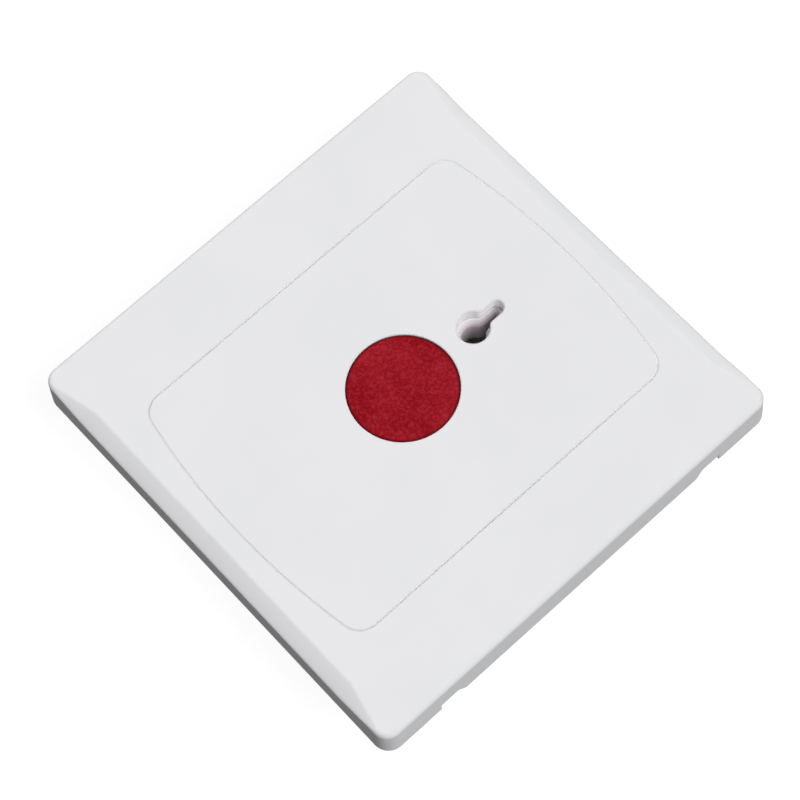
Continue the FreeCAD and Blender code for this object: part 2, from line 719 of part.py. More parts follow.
def make_switch_housing():
    body = new_body("switch_housing")
    shell = sketch(body, "HousingOutline", offset=LID_TOP)
    add_rounded_rectangle(shell, HOUSING_X, HOUSING_Y, "housing_corner")
    extrude(body, shell, "%s + housing_depth" % FLANGE_TOP)
    blocks(body, "Flange", [("-" + HOUSING_X, HOUSING_X, "-%s - flange_reach" % HOUSING_Y,
                             "%s + flange_reach" % HOUSING_Y)], WEB_TOP, FLANGE_TOP)

    # terminal block under the lower wall: a ledge with a barrier either side of each terminal
    block_half = "(contact_place * 1.5 + barrier / 2)"
    blocks(body, "TerminalLedge", [("-" + block_half, block_half, TERMINAL_END, "-%s + root" % HOUSING_Y)],
           LEDGE_UNDER, LEDGE_TOP)
    barriers = []
    for step in ("-1.5", "-0.5", "0.5", "1.5"):
        middle = "%s * contact_place" % step
        barriers.append((middle + " - barrier / 2", middle + " + barrier / 2", TERMINAL_END,
                         "-%s + root" % HOUSING_Y))
    blocks(body, "Barriers", barriers, "-terminal_drop", LEDGE_TOP)

    # the two rooms: the button's well in front of the deck, the switch room behind it
    for name, low, high in (("ButtonWell", "deck_top", FLANGE_TOP + " + past"),
                            ("SwitchRoom", LID_TOP + " - past", DECK_UNDER)):
        room = sketch(body, name, offset=low)
        add_rounded_rectangle(room, ROOM_X, ROOM_Y, "(housing_corner / 2)")
        extrude(body, room, "%s - (%s)" % (high, low), cut=True)

    # corner pillars for the lid screws and ribs that seat the stem guide
    far_x, far_y = "(%s + root)" % ROOM_X, "(%s + root)" % ROOM_Y
    pillars = corner_boxes("(%s - pillar)" % ROOM_X, far_x, "(%s - pillar)" % ROOM_Y, far_y)
    blocks(body, "Pillars", pillars, LID_TOP, DECK_UNDER + " + root")
    seats = corner_boxes("(guide_rib_place - rib / 2)", "(guide_rib_place + rib / 2)",
                         "(%s - guide_rib_reach)" % ROOM_Y, far_y)
    blocks(body, "GuideSeats", seats, GUIDE_TOP, DECK_UNDER + " + root")

    # rib that the latch spring's fixed leg leans on
    leg_line = "(%s - hub_neck - 1.5 * latch_wire - 2 * running_gap)" % PIVOT_Y
    stop = ("-%s - root" % ROOM_X, "-%s - latch_leg + spring_stop_run" % PIVOT_X,
            leg_line + " - rib", leg_line)
    blocks(body, "SpringStop", [stop], LEVER_TOP + " + spring_lift", DECK_UNDER + " + root")

    # key guide that stands behind the cover's keyhole
    posts(body, "KeyBoss", [("key_place", "0")], "(key_radius - key_step + key_collar_wall)",
          "deck_top - root", KEY_BOSS_TOP)
    tail = "(key_slot / 2 - key_step + key_collar_wall)"
    blocks(body, "KeyBossTail", [("key_place", "key_end - key_step + key_collar_wall", "-" + tail, tail)],
           "deck_top - root", KEY_BOSS_TOP)
    key_way = sketch(body, "KeyWay", offset=DECK_UNDER + " - past")
    add_keyhole(key_way, "key_step")
    extrude(body, key_way, "%s - %s + 2 * past" % (KEY_BOSS_TOP, DECK_UNDER), cut=True)
    mouth = sketch(body, "KeyLeadMouth", offset=KEY_BOSS_TOP)
    add_keyhole(mouth, "(key_step - key_lead)")
    throat = sketch(body, "KeyLeadThroat", offset=KEY_BOSS_TOP + " - key_lead_depth")
    add_keyhole(throat, "key_step")
    loft_cut(body, "KeyLead", mouth, throat)

    # holes: the stem, the latch pin, the flange screws, the lid screws and the terminals
    half_stem = "(stem_side / 2 + stem_gap)"
    blocks(body, "StemHole", [("-" + half_stem, half_stem, "-" + half_stem, half_stem)],
           DECK_UNDER + " - past", "deck_top + past", cut=True)
    posts(body, "LatchPinHole", [PIVOT], "pivot_radius + running_gap / 2", DECK_UNDER + " - past",
          "deck_top - pivot_cover", cut=True)
    posts(body, "FlangeScrewHoles", all_corners(FLANGE_SCREW_X, FLANGE_SCREW_Y),
          "(screw_radius + screw_gap)", WEB_TOP + " - past", FLANGE_TOP + " + past", cut=True)
    posts(body, "LidScrewHoles", all_corners(LID_SCREW_X, LID_SCREW_Y), "(screw_radius + running_gap)",
          LID_TOP + " - past", LID_TOP + " + lid_screw_reach", cut=True)
    ports = [("%s - strip_width / 2 - seat_gap / 2" % x, "%s + strip_width / 2 + seat_gap / 2" % x,
              "-%s - port_overcut" % HOUSING_Y, "-%s + past" % ROOM_Y) for x in TERMINALS]
    blocks(body, "StripPorts", ports, UPPER_STRIP + " - seat_gap / 2", LEDGE_UNDER + " + seat_gap / 2",
           cut=True)
    posts(body, "TerminalScrewHoles", [(x, TERMINAL_Y) for x in TERMINALS],
          "(terminal_screw_radius + running_gap)", LEDGE_UNDER + " - past",
          LEDGE_UNDER + " + terminal_thread", cut=True)
    return body


def pillar_clearances():
    """Boxes that clear the housing's pillars."""
    spans = []
    for room in (ROOM_X, ROOM_Y):
        spans += ["(%s - pillar - seat_gap)" % room, "(%s + past)" % room]
    return corner_boxes(*spans)


# Stem guide: the plate between the latch and the contacts

def make_stem_guide():
    body = new_body("stem_guide")
    half_x, half_y = "(%s - seat_gap)" % ROOM_X, "(%s - seat_gap)" % ROOM_Y
    blocks(body, "GuidePlate", [("-" + half_x, half_x, "-" + half_y, half_y)], GUIDE_UNDER, GUIDE_TOP)
    notches = pillar_clearances()
    low, high = GUIDE_UNDER + " - past", GUIDE_TOP + " + past"
    blocks(body, "PillarNotches", notches, low, high, cut=True)
    half_stem = "(stem_side / 2 + stem_gap)"
    blocks(body, "StemHole", [("-" + half_stem, half_stem, "-" + half_stem, half_stem)], low, high, cut=True)
    half_wedge = "(wedge_width / 2 + stem_gap)"
    blocks(body, "WedgeNotch", [("-" + half_wedge, half_wedge, "0",
                                 "stem_side / 2 + wedge_rise + stem_gap")], low, high, cut=True)
    posts(body, "LatchPinHole", [PIVOT], "pivot_radius + running_gap / 2", low, high, cut=True)
    return body


# Housing lid, with the posts that hold the guide and the lower contacts up

def make_housing_lid():
    body = new_body("housing_lid")
    plate = sketch(body, "LidPlate", offset=LID_UNDER)
    add_rounded_rectangle(plate, HOUSING_X, HOUSING_Y, "housing_corner")
    extrude(body, plate, "lid")
    lip_x, lip_y = "(%s - seat_gap)" % ROOM_X, "(%s - seat_gap)" % ROOM_Y
    ring(body, "LidLip", lip_x, lip_y, "rib", "(housing_corner / 2)", LID_TOP + " - root",
         LID_TOP + " + lid_lip")
    notches = pillar_clearances()
    blocks(body, "LipNotches", notches, LID_TOP, LID_TOP + " + lid_lip + past", cut=True)
    places = all_corners("(%s - post_inset_x)" % ROOM_X, "(%s - post_inset_y)" % ROOM_Y)
    posts(body, "GuidePosts", places, "post_radius", LID_TOP + " - root", GUIDE_UNDER)
    props = []
    for sign in (1, -1):
        middle = "%d * contact_place" % sign
        props.append((middle + " - strip_width / 2", middle + " + strip_width / 2",
                      "-rivet_radius - prop_overhang", "rivet_radius"))
    blocks(body, "ContactProps", props, LID_TOP + " - root", LOWER_STRIP)
    spots = all_corners(LID_SCREW_X, LID_SCREW_Y)
    posts(body, "ScrewRecesses", spots, "screw_head_radius + screw_head_gap", LID_UNDER + " - past",
          LID_UNDER + " + screw_head + screw_head_sink", cut=True)
    posts(body, "ScrewHoles", spots, "(screw_radius + screw_gap)", LID_UNDER + " - past",
          LID_TOP + " + past", cut=True)
    return body


# Contact strips, rivets, terminal screws and clamps

def strip_holes(body, x, contacts):
    """The screw hole in a strip's outer end and the rivet holes at its contacts."""
    posts(body, "ScrewHole", [(x, TERMINAL_Y)], "(terminal_screw_radius + terminal_screw_gap)",
          UPPER_STRIP + " - past", GUIDE_UNDER + " + past", cut=True)
    for name, level in contacts:
        spot = ("-contact_place" if x.startswith("-") else "contact_place", "0")
        posts(body, name, [spot], "rivet_shank + running_gap / 2", level + " - root",
              level + " + strip + root", cut=True)


def make_com_strip():
    """The common contact: one strip that folds round the bridge, with a contact above and below it."""
    body = new_body("com_strip")
    fold = sketch(body, "StripFold", "YZ_Plane", "-contact_place - strip_width / 2")
    outer_bend = "(strip_bend + strip)"
    inner_end = "(-strip_width / 2)"
    add_polygon(fold, [(STRIP_END, GUIDE_UNDER), (outer_bend, GUIDE_UNDER),
                       (outer_bend, LOWER_STRIP), (inner_end, LOWER_STRIP),
                       (inner_end, LOWER_STRIP_TOP), ("strip_bend", LOWER_STRIP_TOP),
                       ("strip_bend", UPPER_STRIP), (STRIP_END, UPPER_STRIP)])
    bent = extrude(body, fold, "strip_width")
    round_edges(body, "OuterBends", bent, "2 * strip",
                lambda edge: edge.BoundBox.XLength > number("strip_width") - 0.1
                and near(edge.BoundBox.YMax, number(outer_bend)))
    strip_holes(body, "-contact_place", [("UpperRivetHole", UPPER_STRIP), ("LowerRivetHole", LOWER_STRIP)])
    return body


def make_nc_strip():
    """The contact that the bridge touches at rest."""
    body = new_body("nc_strip")
    half = "strip_width / 2"
    blocks(body, "Strip", [("contact_place - " + half, "contact_place + " + half, STRIP_END, half)],
           UPPER_STRIP, GUIDE_UNDER)
    strip_holes(body, "contact_place", [("UpperRivetHole", UPPER_STRIP)])
    return body


def make_no_strip():
    """The contact that the bridge reaches when the button is down: it drops, then turns under the bridge."""
    body = new_body("no_strip")
    drop = "(-%s + seat_gap)" % ROOM_Y
    fold = sketch(body, "StripFold", "YZ_Plane", "-strip_width / 2")
    run_end = "(-strip_width)"
    add_polygon(fold, [(STRIP_END, GUIDE_UNDER), (drop + " + strip", GUIDE_UNDER),
                       (drop + " + strip", LOWER_STRIP_TOP), (run_end, LOWER_STRIP_TOP),
                       (run_end, LOWER_STRIP), (drop, LOWER_STRIP), (drop, UPPER_STRIP),
                       (STRIP_END, UPPER_STRIP)])
    extrude(body, fold, "strip_width")
    side_run = ("-strip_width / 2", "contact_place + strip_width / 2", drop + " + strip", run_end)
    blocks(body, "SideRun", [side_run], LOWER_STRIP, LOWER_STRIP_TOP)
    contact_run = ("contact_place - strip_width / 2", "contact_place + strip_width / 2", run_end + " - root",
                   "strip_width / 2")
    blocks(body, "ContactRun", [contact_run], LOWER_STRIP, LOWER_STRIP_TOP)
    posts(body, "ScrewHole", [("0", TERMINAL_Y)], "(terminal_screw_radius + terminal_screw_gap)",
          UPPER_STRIP + " - past", GUIDE_UNDER + " + past", cut=True)
    posts(body, "RivetHole", [("contact_place", "0")], "rivet_shank + running_gap / 2",
          LOWER_STRIP + " - root", LOWER_STRIP_TOP + " + root", cut=True)
    return body


def make_contact_rivets():
    """The four fixed contacts: two that face down above the bridge, two that face up below it."""
    body = new_body("contact_rivets")
    spots = [("-contact_place", "0"), ("contact_place", "0")]
    posts(body, "UpperHeads", spots, "rivet_radius", UPPER_RIVET, UPPER_STRIP)
    posts(body, "UpperShanks", spots, "rivet_shank", UPPER_STRIP, GUIDE_UNDER)
    posts(body, "LowerHeads", spots, "rivet_radius", LOWER_STRIP_TOP, LOWER_RIVET)
    posts(body, "LowerShanks", spots, "rivet_shank", LOWER_STRIP, LOWER_STRIP_TOP)
    return body


def make_terminal_clamps():
    """Saddle washers with a turned-up lip either side, which keep the wire under the screw."""
    body = new_body("terminal_clamps")
    low, high = UPPER_STRIP + " - clamp", UPPER_STRIP
    plates = [("%s - clamp_side / 2" % x, "%s + clamp_side / 2" % x,
               "%s - clamp_side / 2" % TERMINAL_Y, "%s + clamp_side / 2" % TERMINAL_Y) for x in TERMINALS]
    blocks(body, "Plates", plates, low, high)
    lips = []
    for x in TERMINALS:
        for edge in ("-clamp_side / 2", "clamp_side / 2 - clamp_lip"):
            lips.append(("%s + %s" % (x, edge), "%s + %s + clamp_lip" % (x, edge),
                         "%s - clamp_side / 2" % TERMINAL_Y, "%s + clamp_side / 2" % TERMINAL_Y))
    blocks(body, "Lips", lips, low + " - clamp_lip", low)
    posts(body, "Holes", [(x, TERMINAL_Y) for x in TERMINALS],
          "(terminal_screw_radius + terminal_screw_gap)", low + " - past", high + " + past", cut=True)
    return body


def make_terminal_screws():
    body = new_body("terminal_screws")
    spots = [(x, TERMINAL_Y) for x in TERMINALS]
    seat = UPPER_STRIP + " - clamp"
    posts(body, "Heads", spots, "terminal_head_radius", seat + " - terminal_head", seat)
    posts(body, "Shanks", spots, "terminal_screw_radius", seat,
          LEDGE_UNDER + " + terminal_thread - screw_end_gap")
    return body


# Small screws and the latch pin

def make_housing_screws():
    """Four screws that hold the housing's flange to the base plate."""
    body = new_body("housing_screws")
    spots = all_corners(FLANGE_SCREW_X, FLANGE_SCREW_Y)
    posts(body, "Heads", spots, "screw_head_radius", FLANGE_TOP, FLANGE_TOP + " + screw_head")
    posts(body, "Shanks", spots, "screw_radius", FLANGE_TOP + " - screw_reach", FLANGE_TOP)
    return body


def make_lid_screws():
    """Four screws that hold the lid, their heads sunk in its back."""
    body = new_body("lid_screws")
    spots = all_corners(LID_SCREW_X, LID_SCREW_Y)
    seat = LID_UNDER + " + screw_head + screw_head_sink"
    posts(body, "Heads", spots, "screw_head_radius", LID_UNDER + " + screw_head_sink", seat)
    posts(body, "Shanks", spots, "screw_radius", seat, LID_TOP + " + lid_screw_reach - screw_end_gap")
    return body


def make_latch_pin():
    body = new_body("latch_pin")
    posts(body, "Pin", [PIVOT], "pivot_radius", GUIDE_UNDER, "deck_top - pivot_cover - contact_gap")
    return body


# Latch lever: swings aside as the stem's wedge passes, then rests on its ledge

def make_latch_lever():
    body = new_body("latch_lever")
    arm = sketch(body, "Arm", offset=LEVER_UNDER)
    pivot_x, pivot_y = PIVOT
    tip_end = "(key_place + lever_overhang)"
    bend = "(stem_side / 2 + lever_near)"
    add_polygon(arm, [(pivot_x, pivot_y + " - hub_radius / 2"),
                      (pivot_x + " + 2 * hub_radius", "lever_near"),
                      (bend, "lever_near"),
                      (bend + " + lever_bend", "lever_key_edge"),
                      (tip_end, "lever_key_edge"),
                      (tip_end, "lever_far - 2 * lever_taper"),
                      (bend, "lever_far - lever_taper"),
                      (pivot_x + " / 2", "lever_far"),
                      (pivot_x, pivot_y + " + hub_radius - root")])
    blade = extrude(body, arm, "lever")
    round_edges(body, "TipCorners", blade, "lever_tip_round",
                lambda edge: near(edge.BoundBox.XMin, number(tip_end)) and edge.BoundBox.ZLength > 1)
    posts(body, "Hub", [PIVOT], "hub_radius", LEVER_UNDER, LEVER_TOP)
    posts(body, "HubNeck", [PIVOT], "hub_neck", LEVER_TOP, DECK_UNDER + " - seat_gap")
    nose = sketch(body, "Nose", "YZ_Plane")
    slope = "(wedge_rise / wedge_height)"
    tip = "(stem_side / 2 + nose_gap)"
    add_polygon(nose, [(tip, LEVER_UNDER), ("lever_near + root", LEVER_UNDER),
                       ("lever_near + root", LEVER_TOP), ("%s + lever * %s" % (tip, slope), LEVER_TOP)])
    extrude(body, nose, "nose_width", both_ways=True)
    post_line = "(%s + hub_neck + latch_wire / 2 - spring_post_radius - spring_post_gap)" % pivot_y
    posts(body, "SpringPost", [(pivot_x + " + spring_post_place", post_line)], "spring_post_radius",
          LEVER_TOP, LEVER_TOP + " + spring_post_height")
    posts(body, "PivotHole", [PIVOT], "pivot_radius + running_gap", LEVER_UNDER + " - past",
          DECK_UNDER + " + past", cut=True)
    return body


# Button cap, stem and the bridge that the stem carries

def make_button_cap():
    body = new_body("button_cap")
    half = sketch(body, "CapHalf", "XZ_Plane")
    skirt = "(button_radius - skirt_wall)"
    add_polygon(half, [("0", CAP_INNER), (skirt, CAP_INNER), (skirt, SKIRT_END),
                       ("button_radius", SKIRT_END), ("button_radius", CAP_TOP + " - button_rim"),
                       ("button_radius - button_rim", CAP_TOP), ("0", CAP_TOP)])
    cap = body.newObject("PartDesign::Revolution", "Cap")
    cap.Profile = half
    cap.ReferenceAxis = (half, ["V_Axis"])
    cap.Angle = 360
    doc.recompute()
    posts(body, "Socket", [("0", "0")], "socket_radius", CAP_INNER + " - tenon_length",
          CAP_INNER + " + root")
    hole = "(tenon_side / 2 + tenon_gap)"
    blocks(body, "TenonHole", [("-" + hole, hole, "-" + hole, hole)], CAP_INNER + " - tenon_length - past",
           CAP_INNER, cut=True)
    return body


def make_stem():
    body = new_body("stem")
    shoulder = "(%s - tenon_length - contact_gap)" % CAP_INNER
    half = "(stem_side / 2)"
    blocks(body, "Column", [("-" + half, half, "-" + half, half)], BRIDGE_TOP, shoulder)
    tenon = "(tenon_side / 2)"
    blocks(body, "Tenon", [("-" + tenon, tenon, "-" + tenon, tenon)], shoulder, CAP_INNER + " - contact_gap")
    wedge = sketch(body, "Wedge", "YZ_Plane")
    ledge = "(%s - contact_gap)" % DECK_UNDER
    add_polygon(wedge, [("stem_side / 4", ledge + " - wedge_height"), (half, ledge + " - wedge_height"),
                        (half[:-1] + " + wedge_rise)", ledge), ("stem_side / 4", ledge)])
    extrude(body, wedge, "wedge_width", both_ways=True)
    posts(body, "BridgePin", [("0", "0")], "stem_pin_radius",
          BRIDGE_UNDER + " - bridge_spring_length - retainer - 1.5 * root", BRIDGE_TOP)
    return body


def make_bridge():
    """The moving contact: a strip across the stem's pin, held up by its own spring."""
    body = new_body("bridge")
    reach = "(contact_place + bridge_end)"
    profile = sketch(body, "BridgeOutline", offset=BRIDGE_UNDER)
    add_rounded_rectangle(profile, reach, "(bridge_width / 2)", "(bridge_width / 3)")
    extrude(body, profile, "strip")
    posts(body, "PinHole", [("0", "0")], "stem_pin_radius + running_gap", BRIDGE_UNDER + " - root",
          BRIDGE_TOP + " + root", cut=True)
    posts(body, "RivetHoles", [("-contact_place", "0"), ("contact_place", "0")],
          "rivet_shank + running_gap / 2", BRIDGE_UNDER + " - root", BRIDGE_TOP + " + root", cut=True)
    return body


def make_bridge_rivets():
    body = new_body("bridge_rivets")
    spots = [("-contact_place", "0"), ("contact_place", "0")]
    posts(body, "UpperHeads", spots, "rivet_radius", BRIDGE_TOP, BRIDGE_TOP + " + rivet_head")
    posts(body, "Shanks", spots, "rivet_shank", BRIDGE_UNDER, BRIDGE_TOP)
    posts(body, "LowerHeads", spots, "rivet_radius", BRIDGE_UNDER + " - rivet_head", BRIDGE_UNDER)
    return body


def make_spring_retainer():
    """The push-on washer that carries the bridge spring."""
    body = new_body("spring_retainer")
    top = BRIDGE_UNDER + " - bridge_spring_length"
    posts(body, "Washer", [("0", "0")], "retainer_radius", top + " - retainer", top)
    posts(body, "WasherHole", [("0", "0")], "stem_pin_radius + retainer_gap", top + " - retainer - past",
          top + " + past", cut=True)
    return body


# Springs: a square section swept along a helix, as wide across as the wire

def add_coil(body, name, low, high, radius, wire, turns):
    """A coil about the body's Z axis whose wire lies between two heights."""
    section = sketch(body, name + "Wire", "XZ_Plane")
    seat = "(%s + spring_seat)" % low
    add_rectangle(section, "%s - %s / 2" % (radius, wire), "%s + %s / 2" % (radius, wire),
                  seat, "%s + %s" % (seat, wire))
    coil = body.newObject("PartDesign::AdditiveHelix", name)
    coil.Profile = section
    coil.ReferenceAxis = (section, ["V_Axis"])
    coil.Mode = "height-turns-growth"
    bind(coil, "Height", "%s - (%s) - %s - spring_seat" % (high, seat, wire))
    bind(coil, "Turns", turns)
    coil.Growth = 0
    doc.recompute()


def make_return_spring():
    body = new_body("return_spring")
    add_coil(body, "Coil", "deck_top", CAP_INNER, "return_radius", "return_wire", "return_turns")
    return body


def make_bridge_spring():
    body = new_body("bridge_spring")
    add_coil(body, "Coil", "(%s - bridge_spring_length)" % BRIDGE_UNDER, BRIDGE_UNDER,
             "bridge_spring_radius", "bridge_wire", "bridge_spring_turns")
    return body


def make_latch_spring():
    """A torsion spring round the lever's neck: one leg by the lever's post, one on the housing's rib."""
    body = new_body("latch_spring")
    pivot_x, pivot_y = PIVOT
    bind(body, "Placement.Base.x", pivot_x)
    bind(body, "Placement.Base.y", pivot_y)
    radius = "(hub_neck + latch_wire)"
    low, high = "(%s + spring_lift)" % LEVER_TOP, "(%s - 5 * spring_lift)" % DECK_UNDER
    add_coil(body, "Coil", low, high, radius, "latch_wire", "latch_turns")
    seat, roof = "(%s + spring_seat)" % low, "(%s - spring_seat)" % high
    half = "latch_wire / 2"
    blocks(body, "FixedLeg", [("-latch_leg", "0", "-%s - %s" % (radius, half), "-%s + %s" % (radius, half))],
           seat, seat + " + latch_wire")
    blocks(body, "MovingLeg", [("0", "latch_leg", "%s - %s" % (radius, half), "%s + %s" % (radius, half))],
           roof + " - latch_wire", roof)
    return body


def check_features(body):
    """Each feature of a body has to change its volume."""
    before = 0.0
    for feature in body.Group:
        if not feature.isDerivedFrom("PartDesign::Feature"):
            continue
        volume = feature.Shape.Volume
        if abs(volume - before) < 1e-4:
            raise RuntimeError("%s in %s changes nothing" % (feature.Name, body.Label))
        before = volume


nodes = [
    make_front_cover(),
    make_base_plate(),
    make_switch_housing(),
    make_stem_guide(),
    make_housing_lid(),
    make_com_strip(),
    make_nc_strip(),
    make_no_strip(),
    make_contact_rivets(),
    make_terminal_clamps(),
    make_terminal_screws(),
    make_housing_screws(),
    make_lid_screws(),
    make_latch_pin(),
    make_latch_lever(),
    make_latch_spring(),
    make_button_cap(),
    make_stem(),
    make_bridge(),
    make_bridge_rivets(),
    make_spring_retainer(),
    make_return_spring(),
    make_bridge_spring(),
]
doc.recompute()

for piece in doc.Objects:
    if "Invalid" in piece.State or "Error" in piece.State:
        raise RuntimeError("%s did not build: %s" % (piece.Name, piece.State))

os.makedirs("parts", exist_ok=True)
for node in nodes:
    if node.Shape.isNull() or not node.Shape.isValid():
        raise RuntimeError("%s has no valid shape" % node.Label)
    if node.isDerivedFrom("PartDesign::Body"):
        check_features(node)
    node.Shape.exportStep("parts/%s.step" % node.Label)
    print("%-18s %2d solids %9.2f mm3" % (node.Label, len(node.Shape.Solids), node.Shape.Volume))
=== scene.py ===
import bmesh
import bpy
import json
import math
from mathutils import Matrix, Vector


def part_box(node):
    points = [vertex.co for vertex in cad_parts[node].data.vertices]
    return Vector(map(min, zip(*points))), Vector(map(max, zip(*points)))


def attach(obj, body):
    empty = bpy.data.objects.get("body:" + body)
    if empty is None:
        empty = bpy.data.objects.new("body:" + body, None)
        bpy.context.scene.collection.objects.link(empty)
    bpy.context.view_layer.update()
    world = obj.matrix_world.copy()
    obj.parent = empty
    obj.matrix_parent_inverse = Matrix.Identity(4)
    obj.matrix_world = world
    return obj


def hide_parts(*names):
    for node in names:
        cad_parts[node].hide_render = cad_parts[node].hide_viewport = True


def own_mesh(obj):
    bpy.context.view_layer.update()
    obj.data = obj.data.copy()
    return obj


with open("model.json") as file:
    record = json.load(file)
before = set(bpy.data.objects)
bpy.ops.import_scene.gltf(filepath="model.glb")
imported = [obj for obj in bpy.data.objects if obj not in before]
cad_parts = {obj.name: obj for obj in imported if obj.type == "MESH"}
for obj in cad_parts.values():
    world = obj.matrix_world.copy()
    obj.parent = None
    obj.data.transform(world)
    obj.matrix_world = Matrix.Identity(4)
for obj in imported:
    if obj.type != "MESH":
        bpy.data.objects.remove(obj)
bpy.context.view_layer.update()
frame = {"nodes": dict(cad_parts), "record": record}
nodes = frame["nodes"]
MM = 0.001
for node in nodes.values():
    node.data.materials.clear()
for plain in list(bpy.data.materials):
    bpy.data.materials.remove(plain)


def node_box(name):
    """The low and high corner of a CAD node's box, in millimetres."""
    low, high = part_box(name)
    return low / MM, high / MM


# Heights that the materials are placed by, in millimetres

FACE = node_box("front_cover")[1].z
KEY_GUIDE_TOP = node_box("switch_housing")[1].z


# Node helpers

class Shader:
    """A material with one Principled shader, built up node by node."""

    def __init__(self, name, color, roughness, **settings):
        self.material = bpy.data.materials.new(name)
        self.material.use_nodes = True
        self.material.diffuse_color = (*color, 1)
        self.tree = self.material.node_tree
        self.bsdf = self.tree.nodes["Principled BSDF"]
        self.bsdf.inputs["Base Color"].default_value = (*color, 1)
        self.bsdf.inputs["Roughness"].default_value = roughness
        for key, value in settings.items():
            self.bsdf.inputs[key.replace("_", " ")].default_value = value
        self.place = self.node("ShaderNodeTexCoord").outputs["Object"]

    def node(self, kind, **settings):
        new = self.tree.nodes.new(kind)
        for key, value in settings.items():
            setattr(new, key, value)
        return new

    def link(self, source, target):
        self.tree.links.new(source, target)

    def scaled(self, factors):
        mapping = self.node("ShaderNodeMapping")
        mapping.inputs["Scale"].default_value = factors
        self.link(self.place, mapping.inputs["Vector"])
        return mapping.outputs["Vector"]

    def noise(self, size, detail, rough=0.5, factors=None):
        """Noise whose blobs are about size millimetres across."""
        texture = self.node("ShaderNodeTexNoise")
        self.link(self.scaled(factors) if factors else self.place, texture.inputs["Vector"])
        texture.inputs["Scale"].default_value = 1 / (size * MM)
        texture.inputs["Detail"].default_value = detail
        texture.inputs["Roughness"].default_value = rough
        return texture.outputs["Fac"]

    def axes(self):
        """The place as three numbers in millimetres."""
        split = self.node("ShaderNodeSeparateXYZ")
        self.link(self.scaled((1 / MM, 1 / MM, 1 / MM)), split.inputs[0])
        return split.outputs

    def radius(self):
        """Distance from the object's upright axis, in millimetres."""
        flat = self.node("ShaderNodeVectorMath", operation="MULTIPLY")
        self.link(self.place, flat.inputs[0])
        flat.inputs[1].default_value = (1 / MM, 1 / MM, 0)
        length = self.node("ShaderNodeVectorMath", operation="LENGTH")
        self.link(flat.outputs["Vector"], length.inputs[0])
        return length.outputs["Value"]

    def math(self, operation, first, second):
        """A math node on two numbers, each a plain number or another node's output."""
        result = self.node("ShaderNodeMath", operation=operation)
        for socket, value in zip(result.inputs, (first, second)):
            if isinstance(value, (int, float)):
                socket.default_value = value
            else:
                self.link(value, socket)
        return result.outputs["Value"]

    def magnitude(self, source):
        return self.math("ABSOLUTE", source, 0)

    def above(self, source, limit):
        return self.math("GREATER_THAN", source, limit)

    def below(self, source, limit):
        return self.math("LESS_THAN", source, limit)

    def between(self, source, low, high):
        return self.math("MULTIPLY", self.above(source, low), self.below(source, high))

    def all_of(self, *factors):
        """The product of some factors."""
        product = factors[0]
        for factor in factors[1:]:
            product = self.math("MULTIPLY", product, factor)
        return product

    def ramp(self, source, low, high, start=0.3, end=0.7):
        """A blend from low to high as source goes from start to end, which by default suit a noise."""
        span = self.node("ShaderNodeMapRange", interpolation_type="SMOOTHSTEP")
        self.link(source, span.inputs["Value"])
        for key, value in (("From Min", start), ("From Max", end), ("To Min", low), ("To Max", high)):
            span.inputs[key].default_value = value
        return span.outputs["Result"]

    def blend_colors(self, factor, first, second):
        mix = self.node("ShaderNodeMix", data_type="RGBA")
        self.link(factor, mix.inputs["Factor"])
        for socket, value in (("A", first), ("B", second)):
            target = [s for s in mix.inputs if s.name == socket and s.type == "RGBA"][0]
            if isinstance(value, tuple):
                target.default_value = (*value, 1)
            else:
                self.link(value, target)
        return [s for s in mix.outputs if s.type == "RGBA"][0]

    def color(self, source):
        self.link(source, self.bsdf.inputs["Base Color"])

    def roughness(self, source):
        self.link(source, self.bsdf.inputs["Roughness"])

    def bumps(self, layers, edge=0.0):
        """Stacks bump layers (height, depth in mm, strength) over softened edges, and ends the material.

        The edge is how far they are softened: a number in millimetres or a node's output in metres."""
        normal = None
        if edge:
            soft = self.node("ShaderNodeBevel", samples=8)
            if isinstance(edge, float):
                soft.inputs["Radius"].default_value = edge * MM
            else:
                self.link(edge, soft.inputs["Radius"])
            normal = soft.outputs["Normal"]
        for height, depth, strength in layers:
            bump = self.node("ShaderNodeBump")
            bump.inputs["Distance"].default_value = depth * MM
            bump.inputs["Strength"].default_value = strength
            self.link(height, bump.inputs["Height"])
            if normal:
                self.link(normal, bump.inputs["Normal"])
            normal = bump.outputs["Normal"]
        self.link(normal, self.bsdf.inputs["Normal"])
        return self.material


# Materials

def plastic(name, color, tint, roughness, grain, depth, edge, level=0.5, painted_tones=None):
    """Moulded plastic: a slow drift of tone, a fine eroded grain and a faint waviness of the skin.

    The grain's size and depth are in millimetres. The edge is a number in millimetres or a function of the
    shader. Painted tones is a function that says where painted light or shade gives the plastic another
    tone, and which."""
    drift_size, speck_size = 14, grain * 3
    wave_size, wave_depth = 9, 0.05
    wave_strength, grain_strength = 0.25, 0.6
    smoothest, roughest = roughness - 0.05, roughness + 0.06
    shader = Shader(name, color, roughness, Specular_IOR_Level=level)
    drift = shader.ramp(shader.noise(drift_size, detail=2), 0.0, 1.0)
    tone = shader.blend_colors(drift, color, tint)
    # Painted light and shade, where a function for them is given.
    if painted_tones:
        where, marked = painted_tones(shader)
        tone = shader.blend_colors(where, tone, marked)
    shader.color(tone)
    if callable(edge):
        edge = edge(shader)
    shader.roughness(shader.ramp(shader.noise(speck_size, detail=2), smoothest, roughest))
    fine = shader.noise(grain, detail=2, rough=0.6)
    wave = shader.noise(wave_size, detail=1)
    return shader.bumps([(wave, wave_depth, wave_strength), (fine, depth, grain_strength)], edge)


